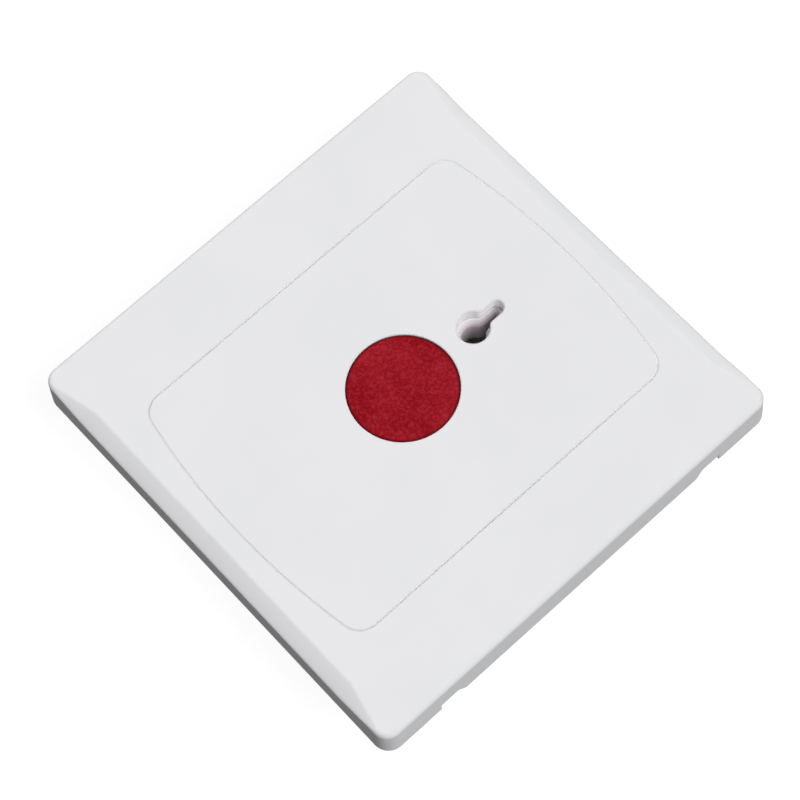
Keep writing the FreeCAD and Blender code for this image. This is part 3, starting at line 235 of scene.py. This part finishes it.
def metal(name, color, tint, roughness, streak, edge=0.0):
    """Rolled or drawn metal: fine streaks and a few duller patches.

    The streaks are long on the axis whose factor in streak is below 1."""
    patch_size, patch_start, patch_end, patch_dulling = 1.6, 0.42, 0.72, 0.08
    streak_size, streak_depth, streak_strength = 0.25, 0.01, 0.5
    smoothest, roughest = roughness - 0.08, roughness + 0.1
    shader = Shader(name, color, roughness, Metallic=1.0)
    patch = shader.ramp(shader.noise(patch_size, detail=4), 0.0, 1.0, patch_start, patch_end)
    shader.color(shader.blend_colors(patch, color, tint))
    streaks = shader.noise(streak_size, detail=3, rough=0.6, factors=streak)
    polish = shader.ramp(streaks, smoothest, roughest)
    shader.roughness(shader.math("ADD", polish, shader.ramp(patch, 0.0, patch_dulling)))
    return shader.bumps([(streaks, streak_depth, streak_strength)], edge)


def grained_red():
    """The button's plastic: a fine grain with painted shade in its creases and painted shade round the
    cap's rim, worn unevenly.
    """
    # The darkest red is painted shade in the grain's creases, and the rim's dark red is painted shade round
    # the cap's edge.
    crease_shade_red, worn, rim = (0.217, 0.0005, 0.0050), (0.384, 0.0148, 0.0272), (0.135, 0.0008, 0.004)
    pebble_size, fine_size, patch_size, broad_size = 1.0, 0.42, 3.5, 9
    crease_share, fine_share, patch_share, broad_share = 0.42, 1.25, 0.3, 0.9
    crease_level, crease_width = 0.5, 0.17
    crease_shade_at, worn_at = 0.74, 2.0
    rim_shade_start, rim_shade_end = 9.0, 9.45
    smoothest, roughest = 0.5, 0.62
    grain_depth, grain_strength = 0.02, 0.6
    patch_depth, patch_strength = 0.05, 0.3
    shader = Shader("button_red", crease_shade_red, roughness=0.55, Specular_IOR_Level=0.06)
    pebble = shader.noise(pebble_size, detail=2)
    off_crease = shader.magnitude(shader.math("SUBTRACT", pebble, crease_level))
    crease = shader.ramp(off_crease, 0.0, crease_share, 0.0, crease_width)
    fine = shader.math("MULTIPLY", shader.noise(fine_size, detail=2, rough=0.6), fine_share)
    patch = shader.noise(patch_size, detail=2)
    broad = shader.math("MULTIPLY", shader.noise(broad_size, detail=1), broad_share)
    height = shader.math("ADD", crease, fine)
    wear = shader.math("ADD", shader.math("MULTIPLY", patch, patch_share), broad)
    # The darker red in the grain's creases is painted shade.
    tone = shader.ramp(shader.math("ADD", height, wear), 0.0, 1.0, crease_shade_at, worn_at)
    # Painted shade: the cap turns dark red towards its rim.
    rim_shade = shader.ramp(shader.radius(), 0.0, 1.0, rim_shade_start, rim_shade_end)
    shader.color(shader.blend_colors(rim_shade, shader.blend_colors(tone, crease_shade_red, worn), rim))
    shader.roughness(shader.ramp(patch, smoothest, roughest))
    return shader.bumps([(height, grain_depth, grain_strength), (patch, patch_depth, patch_strength)])


def cover_painted_shading(shader):
    """Painted shade in the cover's panel line, lifted by a painted lighter tone towards the line's +X side,
    and painted light on the keyhole's wall.
    """
    # The first colour is painted shade for the panel line; the second is painted light for the line's +X
    # side and the keyhole's wall.
    line_shade, pale = (0.75, 0.735, 0.75), (0.95, 0.94, 0.955)
    line_bottom, line_rim, lowest = FACE - 0.16, FACE - 0.01, FACE - 0.5
    line_inner_radius, line_half_width, line_half_height = 24, 38.5, 29
    wall_bottom, wall_rim = FACE - 0.5, FACE - 0.05
    hole_left, hole_right, hole_half_height = 12, 23.4, 3.6
    lighter_side_start, lighter_side_end, lighter_side_share = 24, 35, 0.65
    x, y, z = shader.axes()
    across, along = shader.magnitude(x), shader.magnitude(y)
    line = shader.all_of(shader.ramp(z, 1.0, 0.0, line_bottom, line_rim), shader.above(z, lowest),
                         shader.above(shader.radius(), line_inner_radius),
                         shader.below(across, line_half_width), shader.below(along, line_half_height))
    wall = shader.all_of(shader.ramp(z, 1.0, 0.0, wall_bottom, wall_rim), shader.above(z, KEY_GUIDE_TOP),
                         shader.between(x, hole_left, hole_right), shader.below(along, hole_half_height))
    # Painted light: a lighter tone that grows towards the panel line's +X side and lifts its painted shade
    # there.
    lighter_side = shader.ramp(x, 0.0, lighter_side_share, lighter_side_start, lighter_side_end)
    tone = shader.blend_colors(shader.math("MAXIMUM", wall, lighter_side), line_shade, pale)
    return shader.math("MAXIMUM", line, wall), tone


def cover_edge(shader):
    """How far the cover's edges are softened, in metres: most at the bevels and not at all at the ends."""
    face_radius, bevel_radius = 0.0004, 0.0008
    face_end, bevel_start, softened_half_height = 38.0, 39.5, 41
    x, y = shader.axes()[:2]
    sideways = shader.ramp(shader.magnitude(x), face_radius, bevel_radius, face_end, bevel_start)
    return shader.all_of(sideways, shader.below(shader.magnitude(y), softened_half_height))


def key_way_shading(shader):
    """The key way's inside: painted shade below its mouth, fading out further down, and a painted lighter
    tone on the mouth's slope.
    """
    # The first colour is painted shade down the key way; the second is painted light on its mouth's slope.
    key_way_shade, slope_light = (0.68, 0.60, 0.63), (0.80, 0.77, 0.79)
    shade_gone_below, shade_full_above = -2.0, 1.5
    slope_bottom, slope_pale, slope_top = KEY_GUIDE_TOP - 1.1, KEY_GUIDE_TOP - 0.6, KEY_GUIDE_TOP - 0.14
    way_left, way_right, way_half_height = 12.4, 22.6, 3
    x, y, z = shader.axes()
    where = shader.all_of(shader.ramp(z, 0.0, 1.0, shade_gone_below, shade_full_above), shader.below(z, slope_top),
                          shader.between(x, way_left, way_right),
                          shader.below(shader.magnitude(y), way_half_height))
    on_slope = shader.ramp(z, 0.0, 1.0, slope_bottom, slope_pale)
    return where, shader.blend_colors(on_slope, key_way_shade, slope_light)


def make_materials():
    """The object's materials by the names of their slots, with sizes in millimetres."""
    made = (
        plastic("cover_white", (0.80, 0.80, 0.815), (0.785, 0.787, 0.80), roughness=0.6,
                grain=0.12, depth=0.004, edge=cover_edge, level=0.2, painted_tones=cover_painted_shading),
        plastic("base_white", (0.79, 0.79, 0.79), (0.76, 0.76, 0.755), roughness=0.55,
                grain=0.2, depth=0.02, edge=0.2),
        plastic("housing_white", (0.76, 0.75, 0.755), (0.73, 0.72, 0.725), roughness=0.5,
                grain=0.25, depth=0.012, edge=0.18, painted_tones=key_way_shading),
        plastic("guide_natural", (0.72, 0.70, 0.61), (0.68, 0.66, 0.57), roughness=0.45,
                grain=0.3, depth=0.01, edge=0.12),
        plastic("acetal_natural", (0.80, 0.78, 0.70), (0.77, 0.75, 0.66), roughness=0.32,
                grain=0.4, depth=0.006, edge=0.12),
        metal("contact_brass", (0.62, 0.42, 0.15), (0.50, 0.33, 0.12), roughness=0.3,
              streak=(1, 0.12, 1), edge=0.06),
        metal("contact_silver", (0.72, 0.71, 0.68), (0.60, 0.59, 0.56), roughness=0.3, streak=(1, 1, 1)),
        metal("screw_steel", (0.60, 0.61, 0.62), (0.50, 0.50, 0.49), roughness=0.28, streak=(1, 1, 0.2)),
        metal("spring_steel", (0.45, 0.45, 0.46), (0.36, 0.36, 0.36), roughness=0.3, streak=(1, 1, 0.3)),
        grained_red(),
    )
    return {material.name: material for material in made}


MATERIALS = make_materials()
for entry in frame["record"]["subparts"]:
    nodes[entry["node"]].data.materials.append(MATERIALS[entry["material_slot"]])


# Mesh helpers

def finish_piece(name, bm, body, slot, replaced, smooth_angle):
    """Turns a bmesh in metres into a piece that rides on a body in place of CAD nodes."""
    bmesh.ops.recalc_face_normals(bm, faces=bm.faces)
    mesh = bpy.data.meshes.new(name)
    bm.to_mesh(mesh)
    bm.free()
    mesh.shade_smooth()
    mesh.set_sharp_from_angle(angle=math.radians(smooth_angle))
    mesh.materials.append(MATERIALS[slot])
    piece = bpy.data.objects.new(name, mesh)
    bpy.context.scene.collection.objects.link(piece)
    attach(piece, body)
    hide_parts(*replaced)
    return piece


def bridge(bm, first, second):
    """Faces between two closed rings of as many points each."""
    for step in range(len(first)):
        after = (step + 1) % len(first)
        bm.faces.new((first[step], first[after], second[after], second[step]))


def bridge_all(bm, rings):
    for first, second in zip(rings, rings[1:]):
        bridge(bm, first, second)


def lathe(bm, profile, segments, up=1):
    """Turns a list of (radius, height) in mm about the upright axis, upside down where up is -1."""
    rings = []
    for radius, height in profile:
        z = up * height * MM
        if radius == 0:
            rings.append([bm.verts.new((0, 0, z))])
            continue
        ring = []
        for step in range(segments):
            angle = 2 * math.pi * step / segments
            ring.append(bm.verts.new((radius * math.cos(angle) * MM, radius * math.sin(angle) * MM, z)))
        rings.append(ring)
    for first, second in zip(rings, rings[1:]):
        for step in range(segments):
            after = (step + 1) % segments
            corners = [first[step % len(first)], first[after % len(first)],
                       second[after % len(second)], second[step % len(second)]]
            unique = [v for i, v in enumerate(corners) if v not in corners[:i]]
            if len(unique) > 2:
                bm.faces.new(unique)


def arc(centre, radius, start, end, steps):
    """Points of an arc in a lathe profile, angles in degrees."""
    points = []
    for step in range(steps + 1):
        angle = math.radians(start + (end - start) * step / steps)
        points.append((centre[0] + radius * math.cos(angle), centre[1] + radius * math.sin(angle)))
    return points


def tube(bm, path, radius, sides):
    """A round wire along a path of points in mm, with softly closed ends."""
    end_size, end_reach = 0.72, 0.3
    count = len(path)
    tangents = [(path[min(i + 1, count - 1)] - path[max(i - 1, 0)]).normalized() for i in range(count)]
    side = tangents[0].orthogonal().normalized()
    rings = []
    for point, tangent in zip(path, tangents):
        side = (side - tangent * side.dot(tangent)).normalized()
        other = tangent.cross(side)
        ring = []
        for step in range(sides):
            angle = 2 * math.pi * step / sides
            offset = side * math.cos(angle) + other * math.sin(angle)
            ring.append(bm.verts.new((point + offset * radius) * MM))
        rings.append(ring)
    bridge_all(bm, rings)
    for ring, point, outward in ((rings[0], path[0], -tangents[0]), (rings[-1], path[-1], tangents[-1])):
        centre, push = point * MM, outward * radius * end_reach * MM
        small = [bm.verts.new(centre + (v.co - centre) * end_size + push) for v in ring]
        bridge(bm, ring, small)
        bm.faces.new(small)


def coil_path(radius, low, high, turns):
    """A compression spring's line about the upright axis, whose first and last turns lie almost flat."""
    per_turn, closed, flat = 40, 0.75, 0.18
    steps = int(turns * per_turn)
    points = []
    for step in range(steps + 1):
        turn = turns * step / steps
        if turn < closed:
            share = flat / 2 * turn / closed
        elif turn > turns - closed:
            share = 1 - flat / 2 * (turns - turn) / closed
        else:
            open_share = (turn - closed) / (turns - 2 * closed)
            share = flat / 2 + (1 - flat) * open_share
        angle = 2 * math.pi * turn
        height = low + (high - low) * share
        points.append(Vector((radius * math.cos(angle), radius * math.sin(angle), height)))
    return points


# Red button: a grained cap with a softly rounded rim, its skirt and the socket for the stem

def cap_profile(radius, low, high, inner, skirt, boss):
    """The cap's outline from the middle of its face, round its rim and skirt, to the middle inside."""
    crown_steps, crown_drop, rim = 14, 0.04, 0.22
    chamfer, corner, boss_overlap = 0.15, 0.3, 0.5
    crown = []
    for step in range(crown_steps + 1):
        r = (radius - rim) * step / crown_steps
        crown.append((r, high - crown_drop * (r / radius) ** 2))
    edge_z = crown[-1][1]
    profile = crown[:-1] + arc((radius - rim, edge_z - rim), rim, start=90, end=0, steps=8)
    profile += [(radius, low + chamfer), (radius - chamfer, low), (radius - skirt + chamfer, low),
                (radius - skirt, low + chamfer), (radius - skirt, inner - corner)]
    profile += arc((radius - skirt - corner, inner - corner), corner, start=0, end=90, steps=4)[1:]
    return profile + [(boss - boss_overlap, inner), (0.0, inner)]


def socket_loops(boss, hole, inner, drop):
    """Rings of the stem's socket: its round boss from top to bottom, then its square hole back up."""
    segments, overlap, end_scale = 64, 0.2, 0.955
    angles = [2 * math.pi * step / segments for step in range(segments)]
    loops = []
    for scale, height in ((1.0, inner + overlap), (1.0, inner - drop + overlap), (end_scale, inner - drop)):
        loops.append([Vector((boss * scale * math.cos(angle), boss * scale * math.sin(angle), height))
                      for angle in angles])
    for height in (inner - drop, inner):
        loop = []
        for angle in angles:
            reach = hole / max(abs(math.cos(angle)), abs(math.sin(angle)))
            loop.append(Vector((reach * math.cos(angle), reach * math.sin(angle), height)))
        loops.append(loop)
    return loops


def make_button():
    """The cap: its radius is a little larger than the CAD cap's, and hole is half the socket's width."""
    low, high = node_box("button_cap")
    wider, skin, skirt = 0.12, 1.65, 1.5
    boss, hole, drop = 4.5, 2.55, 2.1
    inner = high.z - skin
    bm = bmesh.new()
    lathe(bm, cap_profile(high.x + wider, low.z, high.z, inner, skirt, boss), segments=128)
    bridge_all(bm, [[bm.verts.new(p * MM) for p in loop] for loop in socket_loops(boss, hole, inner, drop)])
    finish_piece("red_button", bm, "button", "button_red", ("button_cap",), smooth_angle=40)


# Springs in round wire

WIRE_ANGLE = 60


def make_coil(name, node, body, radius, wire, turns, air, sides):
    """A compression spring in place of its CAD node, with a little air above and below it."""
    low, high = node_box(node)
    bm = bmesh.new()
    tube(bm, coil_path(radius, low.z + wire + air, high.z - wire - air, turns), wire, sides)
    return finish_piece(name, bm, body, "spring_steel", (node,), WIRE_ANGLE)


def make_button_spring():
    """The spring under the cap, built at its rest length on its seat, in metres; the button's travel
    presses it against that seat.
    """
    spring = make_coil("button_spring", "return_spring", "housing",
                       radius=5.5, wire=0.3, turns=3.5, air=0.02, sides=12)
    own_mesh(spring)


def make_contact_spring():
    make_coil("contact_spring", "bridge_spring", "button",
              radius=2.15, wire=0.175, turns=3.5, air=0.01, sides=10)


def make_latch_spring():
    """The torsion spring round the latch's pin: a short straight leg, the coil, and a bent leg."""
    low, high = node_box("latch_spring")
    pin, radius, turns, per_turn = Vector((-16.0, 6.0, 0)), 2.3, 2.25, 40
    wire, air, end_air = 0.2, 0.02, 0.1
    short_leg, long_leg, bend, bend_steps = 1.0, 0.5, 0.8, 6
    top, bottom = high.z - wire - air, low.z + wire + air
    path = [Vector((high.x - end_air, pin.y + radius, top)),
            Vector((pin.x + short_leg, pin.y + radius, top))]
    for step in range(int(turns * per_turn) + 1):
        turn = step / per_turn
        angle = math.pi / 2 + 2 * math.pi * turn
        path.append(Vector((pin.x + radius * math.cos(angle), pin.y + radius * math.sin(angle),
                            top + (bottom - top) * turn / turns)))
    line = low.y + wire + air
    path.append(Vector((pin.x - radius, line + bend + long_leg, bottom)))
    for step in range(bend_steps + 1):
        angle = math.pi / 2 * step / bend_steps
        path.append(Vector((pin.x - radius - bend + bend * math.cos(angle),
                            line + bend - bend * math.sin(angle), bottom)))
    path.append(Vector((low.x + end_air, line, bottom)))
    bm = bmesh.new()
    tube(bm, path, wire, sides=10)
    finish_piece("latch_return_spring", bm, "housing", "spring_steel", ("latch_spring",), WIRE_ANGLE)


# Screws with a cross recess and a cut thread

def cross_cutter(radius, depth, width, top, up):
    """A cross of two blocks that taper into the head and start a little outside it."""
    outside, mouth_width, foot_length, foot_width = 0.3, 1.05, 0.45, 0.7
    cutter = bmesh.new()
    for turned in (False, True):
        mouth, foot = [], []
        for sx, sy in ((-1, -1), (1, -1), (1, 1), (-1, 1)):
            for ring, long, wide, height in (
                    (mouth, radius, width / 2 * mouth_width, top + outside * up),
                    (foot, radius * foot_length, width / 2 * foot_width, top - depth * up)):
                x, y = sx * long, sy * wide
                if turned:
                    x, y = -y, x
                ring.append(cutter.verts.new((x * MM, y * MM, height * MM)))
        bridge(cutter, mouth, foot)
        cutter.faces.new(mouth)
        cutter.faces.new(foot)
    return cutter


def cut_out(bm, cutter):
    """What is left of bm outside the cutter. Both are freed."""
    objects = []
    for source in (bm, cutter):
        bmesh.ops.recalc_face_normals(source, faces=source.faces)
        mesh = bpy.data.meshes.new("cut")
        source.to_mesh(mesh)
        source.free()
        item = bpy.data.objects.new("cut", mesh)
        bpy.context.scene.collection.objects.link(item)
        objects.append(item)
    modifier = objects[0].modifiers.new("cut", "BOOLEAN")
    modifier.operation, modifier.solver, modifier.object = "DIFFERENCE", "EXACT", objects[1]
    modifier.use_self = True
    evaluated = objects[0].evaluated_get(bpy.context.evaluated_depsgraph_get())
    result = bmesh.new()
    result.from_mesh(evaluated.to_mesh())
    for item in objects:
        mesh = item.data
        bpy.data.objects.remove(item)
        bpy.data.meshes.remove(mesh)
    return result


def screw_head(radius, head, up):
    """A low domed head with its cross recess. Its seat is at z = 0, and it points down where up is -1."""
    crown_steps, crown_drop = 6, 0.12 * radius
    rounding, chamfer = min(0.45, head * 0.4), 0.12
    cross_radius, cross_depth, cross_width = radius * 0.58, head * 0.62, radius * 0.3
    profile = [(0.0, head)]
    for step in range(1, crown_steps + 1):
        r = (radius - rounding) * step / crown_steps
        profile.append((r, head - crown_drop * (r / radius) ** 2))
    edge = profile[-1][1]
    profile += arc((radius - rounding, edge - rounding), rounding, start=90, end=0, steps=5)[1:]
    profile += [(radius, chamfer), (radius - chamfer, 0.0), (0.0, 0.0)]
    bm = bmesh.new()
    lathe(bm, profile, segments=40, up=up)
    return cut_out(bm, cross_cutter(cross_radius, cross_depth, cross_width, head * up, up))


def add_thread(bm, radius, reach, up, pitch):
    """A threaded shank that runs away from the head, with a plain neck and a tapered tip."""
    segments, rows_per_pitch, tip_rows, tip_step = 24, 6, 4, 0.12
    core, tooth_height, neck = radius - 0.22, 0.2, 0.35
    rows = max(2, int(reach / pitch * rows_per_pitch))
    rings = []
    for row in range(rows + 1):
        down = reach * row / rows
        taper = 1.0 if row < rows - tip_rows else 1.0 - tip_step * (row - rows + tip_rows)
        ring = []
        for step in range(segments):
            turn = step / segments
            phase = (down / pitch - turn) % 1.0
            tooth = 1.0 if down < neck else 1 - abs(2 * phase - 1)
            r = (core + tooth_height * tooth) * taper
            angle = 2 * math.pi * turn
            ring.append(bm.verts.new((r * math.cos(angle) * MM, r * math.sin(angle) * MM, up * -down * MM)))
        rings.append(ring)
    bridge_all(bm, rings)
    bm.faces.new(rings[-1])


def make_screws(name, node, spots, angles, seat, up, reach, head_radius, head, shank_radius, pitch):
    """A set of the same screw, each left at its own angle by the driver."""
    one = screw_head(head_radius, head, up)
    add_thread(one, shank_radius, reach, up, pitch)
    mesh = bpy.data.meshes.new("one")
    one.to_mesh(mesh)
    one.free()
    bm = bmesh.new()
    for (x, y), angle in zip(spots, angles):
        before = len(bm.verts)
        bm.from_mesh(mesh)
        bm.verts.ensure_lookup_table()
        place = Matrix.Translation(Vector((x, y, seat)) * MM) @ Matrix.Rotation(math.radians(angle), 4, "Z")
        bmesh.ops.transform(bm, matrix=place, verts=bm.verts[before:])
    bpy.data.meshes.remove(mesh)
    finish_piece(name, bm, "housing", "screw_steel", (node,), smooth_angle=32)


SMALL_SCREW = {"head_radius": 2.0, "head": 1.3, "shank_radius": 1.1, "pitch": 0.8}
TERMINAL_SCREW = {"head_radius": 2.8, "head": 1.8, "shank_radius": 1.5, "pitch": 0.6}
TERMINAL_STEP = 9.5


def corner_spots(high):
    """The middles of four small screws, from the high corner of their common box."""
    x, y = high.x - SMALL_SCREW["head_radius"], high.y - SMALL_SCREW["head_radius"]
    return [(x, y), (-x, y), (-x, -y), (x, -y)]


def make_all_screws():
    """The flange's screws with their heads up, and the lid's and terminals' with their heads down."""
    head = SMALL_SCREW["head"]
    low, high = node_box("housing_screws")
    make_screws("flange_screw_set", "housing_screws", corner_spots(high), angles=(12, 71, 38, 55),
                seat=high.z - head, up=1, reach=high.z - head - low.z, **SMALL_SCREW)
    low, high = node_box("lid_screws")
    make_screws("lid_screw_set", "lid_screws", corner_spots(high), angles=(64, 20, 47, 83),
                seat=low.z + head, up=-1, reach=high.z - low.z - head, **SMALL_SCREW)
    head = TERMINAL_SCREW["head"]
    low, high = node_box("terminal_screws")
    y = (low.y + high.y) / 2
    spots = [(x, y) for x in (-TERMINAL_STEP, 0.0, TERMINAL_STEP)]
    make_screws("terminal_screw_set", "terminal_screws", spots, angles=(33, 80, 8),
                seat=low.z + head, up=-1, reach=high.z - low.z - head, **TERMINAL_SCREW)


make_button()
make_button_spring()
make_contact_spring()
make_latch_spring()
make_all_screws()


# Stage: floor, light and camera

WHITE = (1, 1, 1, 1)


def floor_material():
    """Pale to the camera, dark to the light that it throws back, and clear to the lamp below it."""
    bench_tone, seen_tone, glow_strength = 0.12, 0.2, 0.875
    material = bpy.data.materials.new("floor")
    material.use_nodes = True
    tree = material.node_tree
    tree.nodes.clear()
    make, link = tree.nodes.new, tree.links.new
    rays, sides = make("ShaderNodeLightPath"), make("ShaderNodeNewGeometry")
    bench, seen = make("ShaderNodeBsdfDiffuse"), make("ShaderNodeBsdfDiffuse")
    glow, clear = make("ShaderNodeEmission"), make("ShaderNodeBsdfTransparent")
    bench.inputs["Color"].default_value = (bench_tone, bench_tone, bench_tone, 1)
    seen.inputs["Color"].default_value = (seen_tone, seen_tone, seen_tone, 1)
    glow.inputs["Color"].default_value = WHITE
    glow.inputs["Strength"].default_value = glow_strength
    bright = make("ShaderNodeAddShader")
    link(seen.outputs[0], bright.inputs[0])
    link(glow.outputs[0], bright.inputs[1])
    shown = make("ShaderNodeMixShader")
    link(rays.outputs["Is Camera Ray"], shown.inputs["Fac"])
    link(bench.outputs[0], shown.inputs[1])
    link(bright.outputs[0], shown.inputs[2])
    let_through = make("ShaderNodeMath")
    let_through.operation = "MAXIMUM"
    link(sides.outputs["Backfacing"], let_through.inputs[0])
    link(rays.outputs["Is Shadow Ray"], let_through.inputs[1])
    whole = make("ShaderNodeMixShader")
    link(let_through.outputs["Value"], whole.inputs["Fac"])
    link(shown.outputs[0], whole.inputs[1])
    link(clear.outputs[0], whole.inputs[2])
    link(whole.outputs[0], make("ShaderNodeOutputMaterial").inputs["Surface"])
    return material


def make_floor():
    """A plain pale floor just under the switch, in metres."""
    half_side, air = 6.0, 0.0002
    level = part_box("housing_lid")[0].z - air
    corners = ((-1, -1), (1, -1), (1, 1), (-1, 1))
    bm = bmesh.new()
    bm.faces.new([bm.verts.new((x * half_side, y * half_side, level)) for x, y in corners])
    mesh = bpy.data.meshes.new("floor")
    bm.to_mesh(mesh)
    bm.free()
    mesh.materials.append(floor_material())
    floor = bpy.data.objects.new("floor", mesh)
    bpy.context.scene.collection.objects.link(floor)


def make_world(level, sheen):
    """Even soft light at one level, mirrored at another, and seen as white."""
    world = bpy.data.worlds.new("studio")
    bpy.context.scene.world = world
    world.use_nodes = True
    tree = world.node_tree
    tree.nodes.clear()
    make, link = tree.nodes.new, tree.links.new
    rays = make("ShaderNodeLightPath")
    shades = []
    for strength in (level, sheen, 1.0):
        shade = make("ShaderNodeBackground")
        shade.inputs["Color"].default_value = WHITE
        shade.inputs["Strength"].default_value = strength
        shades.append(shade)
    seen = make("ShaderNodeMath")
    seen.operation = "MAXIMUM"
    link(rays.outputs["Is Camera Ray"], seen.inputs[0])
    link(rays.outputs["Is Transmission Ray"], seen.inputs[1])
    lit, shown = make("ShaderNodeMixShader"), make("ShaderNodeMixShader")
    link(rays.outputs["Is Glossy Ray"], lit.inputs["Fac"])
    link(shades[0].outputs[0], lit.inputs[1])
    link(shades[1].outputs[0], lit.inputs[2])
    link(seen.outputs["Value"], shown.inputs["Fac"])
    link(lit.outputs[0], shown.inputs[1])
    link(shades[2].outputs[0], shown.inputs[2])
    link(shown.outputs[0], make("ShaderNodeOutputWorld").inputs["Surface"])


def add_sun(name, toward, strength, spread):
    """A soft far lamp: toward points from the object to the lamp, and strength 1 lights white to white."""
    distance = 2
    data = bpy.data.lights.new(name, "SUN")
    data.energy = strength * math.pi
    data.angle = math.radians(spread)
    lamp = bpy.data.objects.new(name, data)
    lamp.rotation_mode = "QUATERNION"
    lamp.rotation_quaternion = Vector(toward).to_track_quat("Z", "Y")
    lamp.location = Vector(toward).normalized() * distance
    bpy.context.scene.collection.objects.link(lamp)


def make_camera():
    """The photograph's viewpoint, in metres. Its focal length is in pixels of the square picture."""
    focal_pixels, picture_pixels, sensor = 2707.73, 800, 36.0
    place = (-0.097898, -0.134527, 0.422008)
    right = Vector((0.7381407399, -0.6731288502, -0.045230511))
    down = Vector((-0.6393726033, -0.6765780686, -0.3653009598))
    forward = Vector((0.2152926433, 0.2985626703, -0.9297899815))
    data = bpy.data.cameras.new("camera")
    data.sensor_width, data.lens = sensor, focal_pixels / picture_pixels * sensor
    data.clip_start, data.clip_end = 0.01, 50
    camera = bpy.data.objects.new("camera", data)
    turn = Matrix((right, -down, -forward)).transposed().to_4x4()
    camera.matrix_world = Matrix.Translation(place) @ turn
    bpy.context.scene.collection.objects.link(camera)
    bpy.context.scene.camera = camera


make_floor()
make_world(level=0.22, sheen=0.4)
add_sun("key", toward=(0.163, -0.55, 0.82), strength=0.76, spread=30)
add_sun("back", toward=(0.1, 0.93, 0.35), strength=0.47, spread=30)
add_sun("under", toward=(0.0, 0.0, -1.0), strength=0.6, spread=15)
make_camera()
bpy.context.scene.view_settings.view_transform = "Standard"
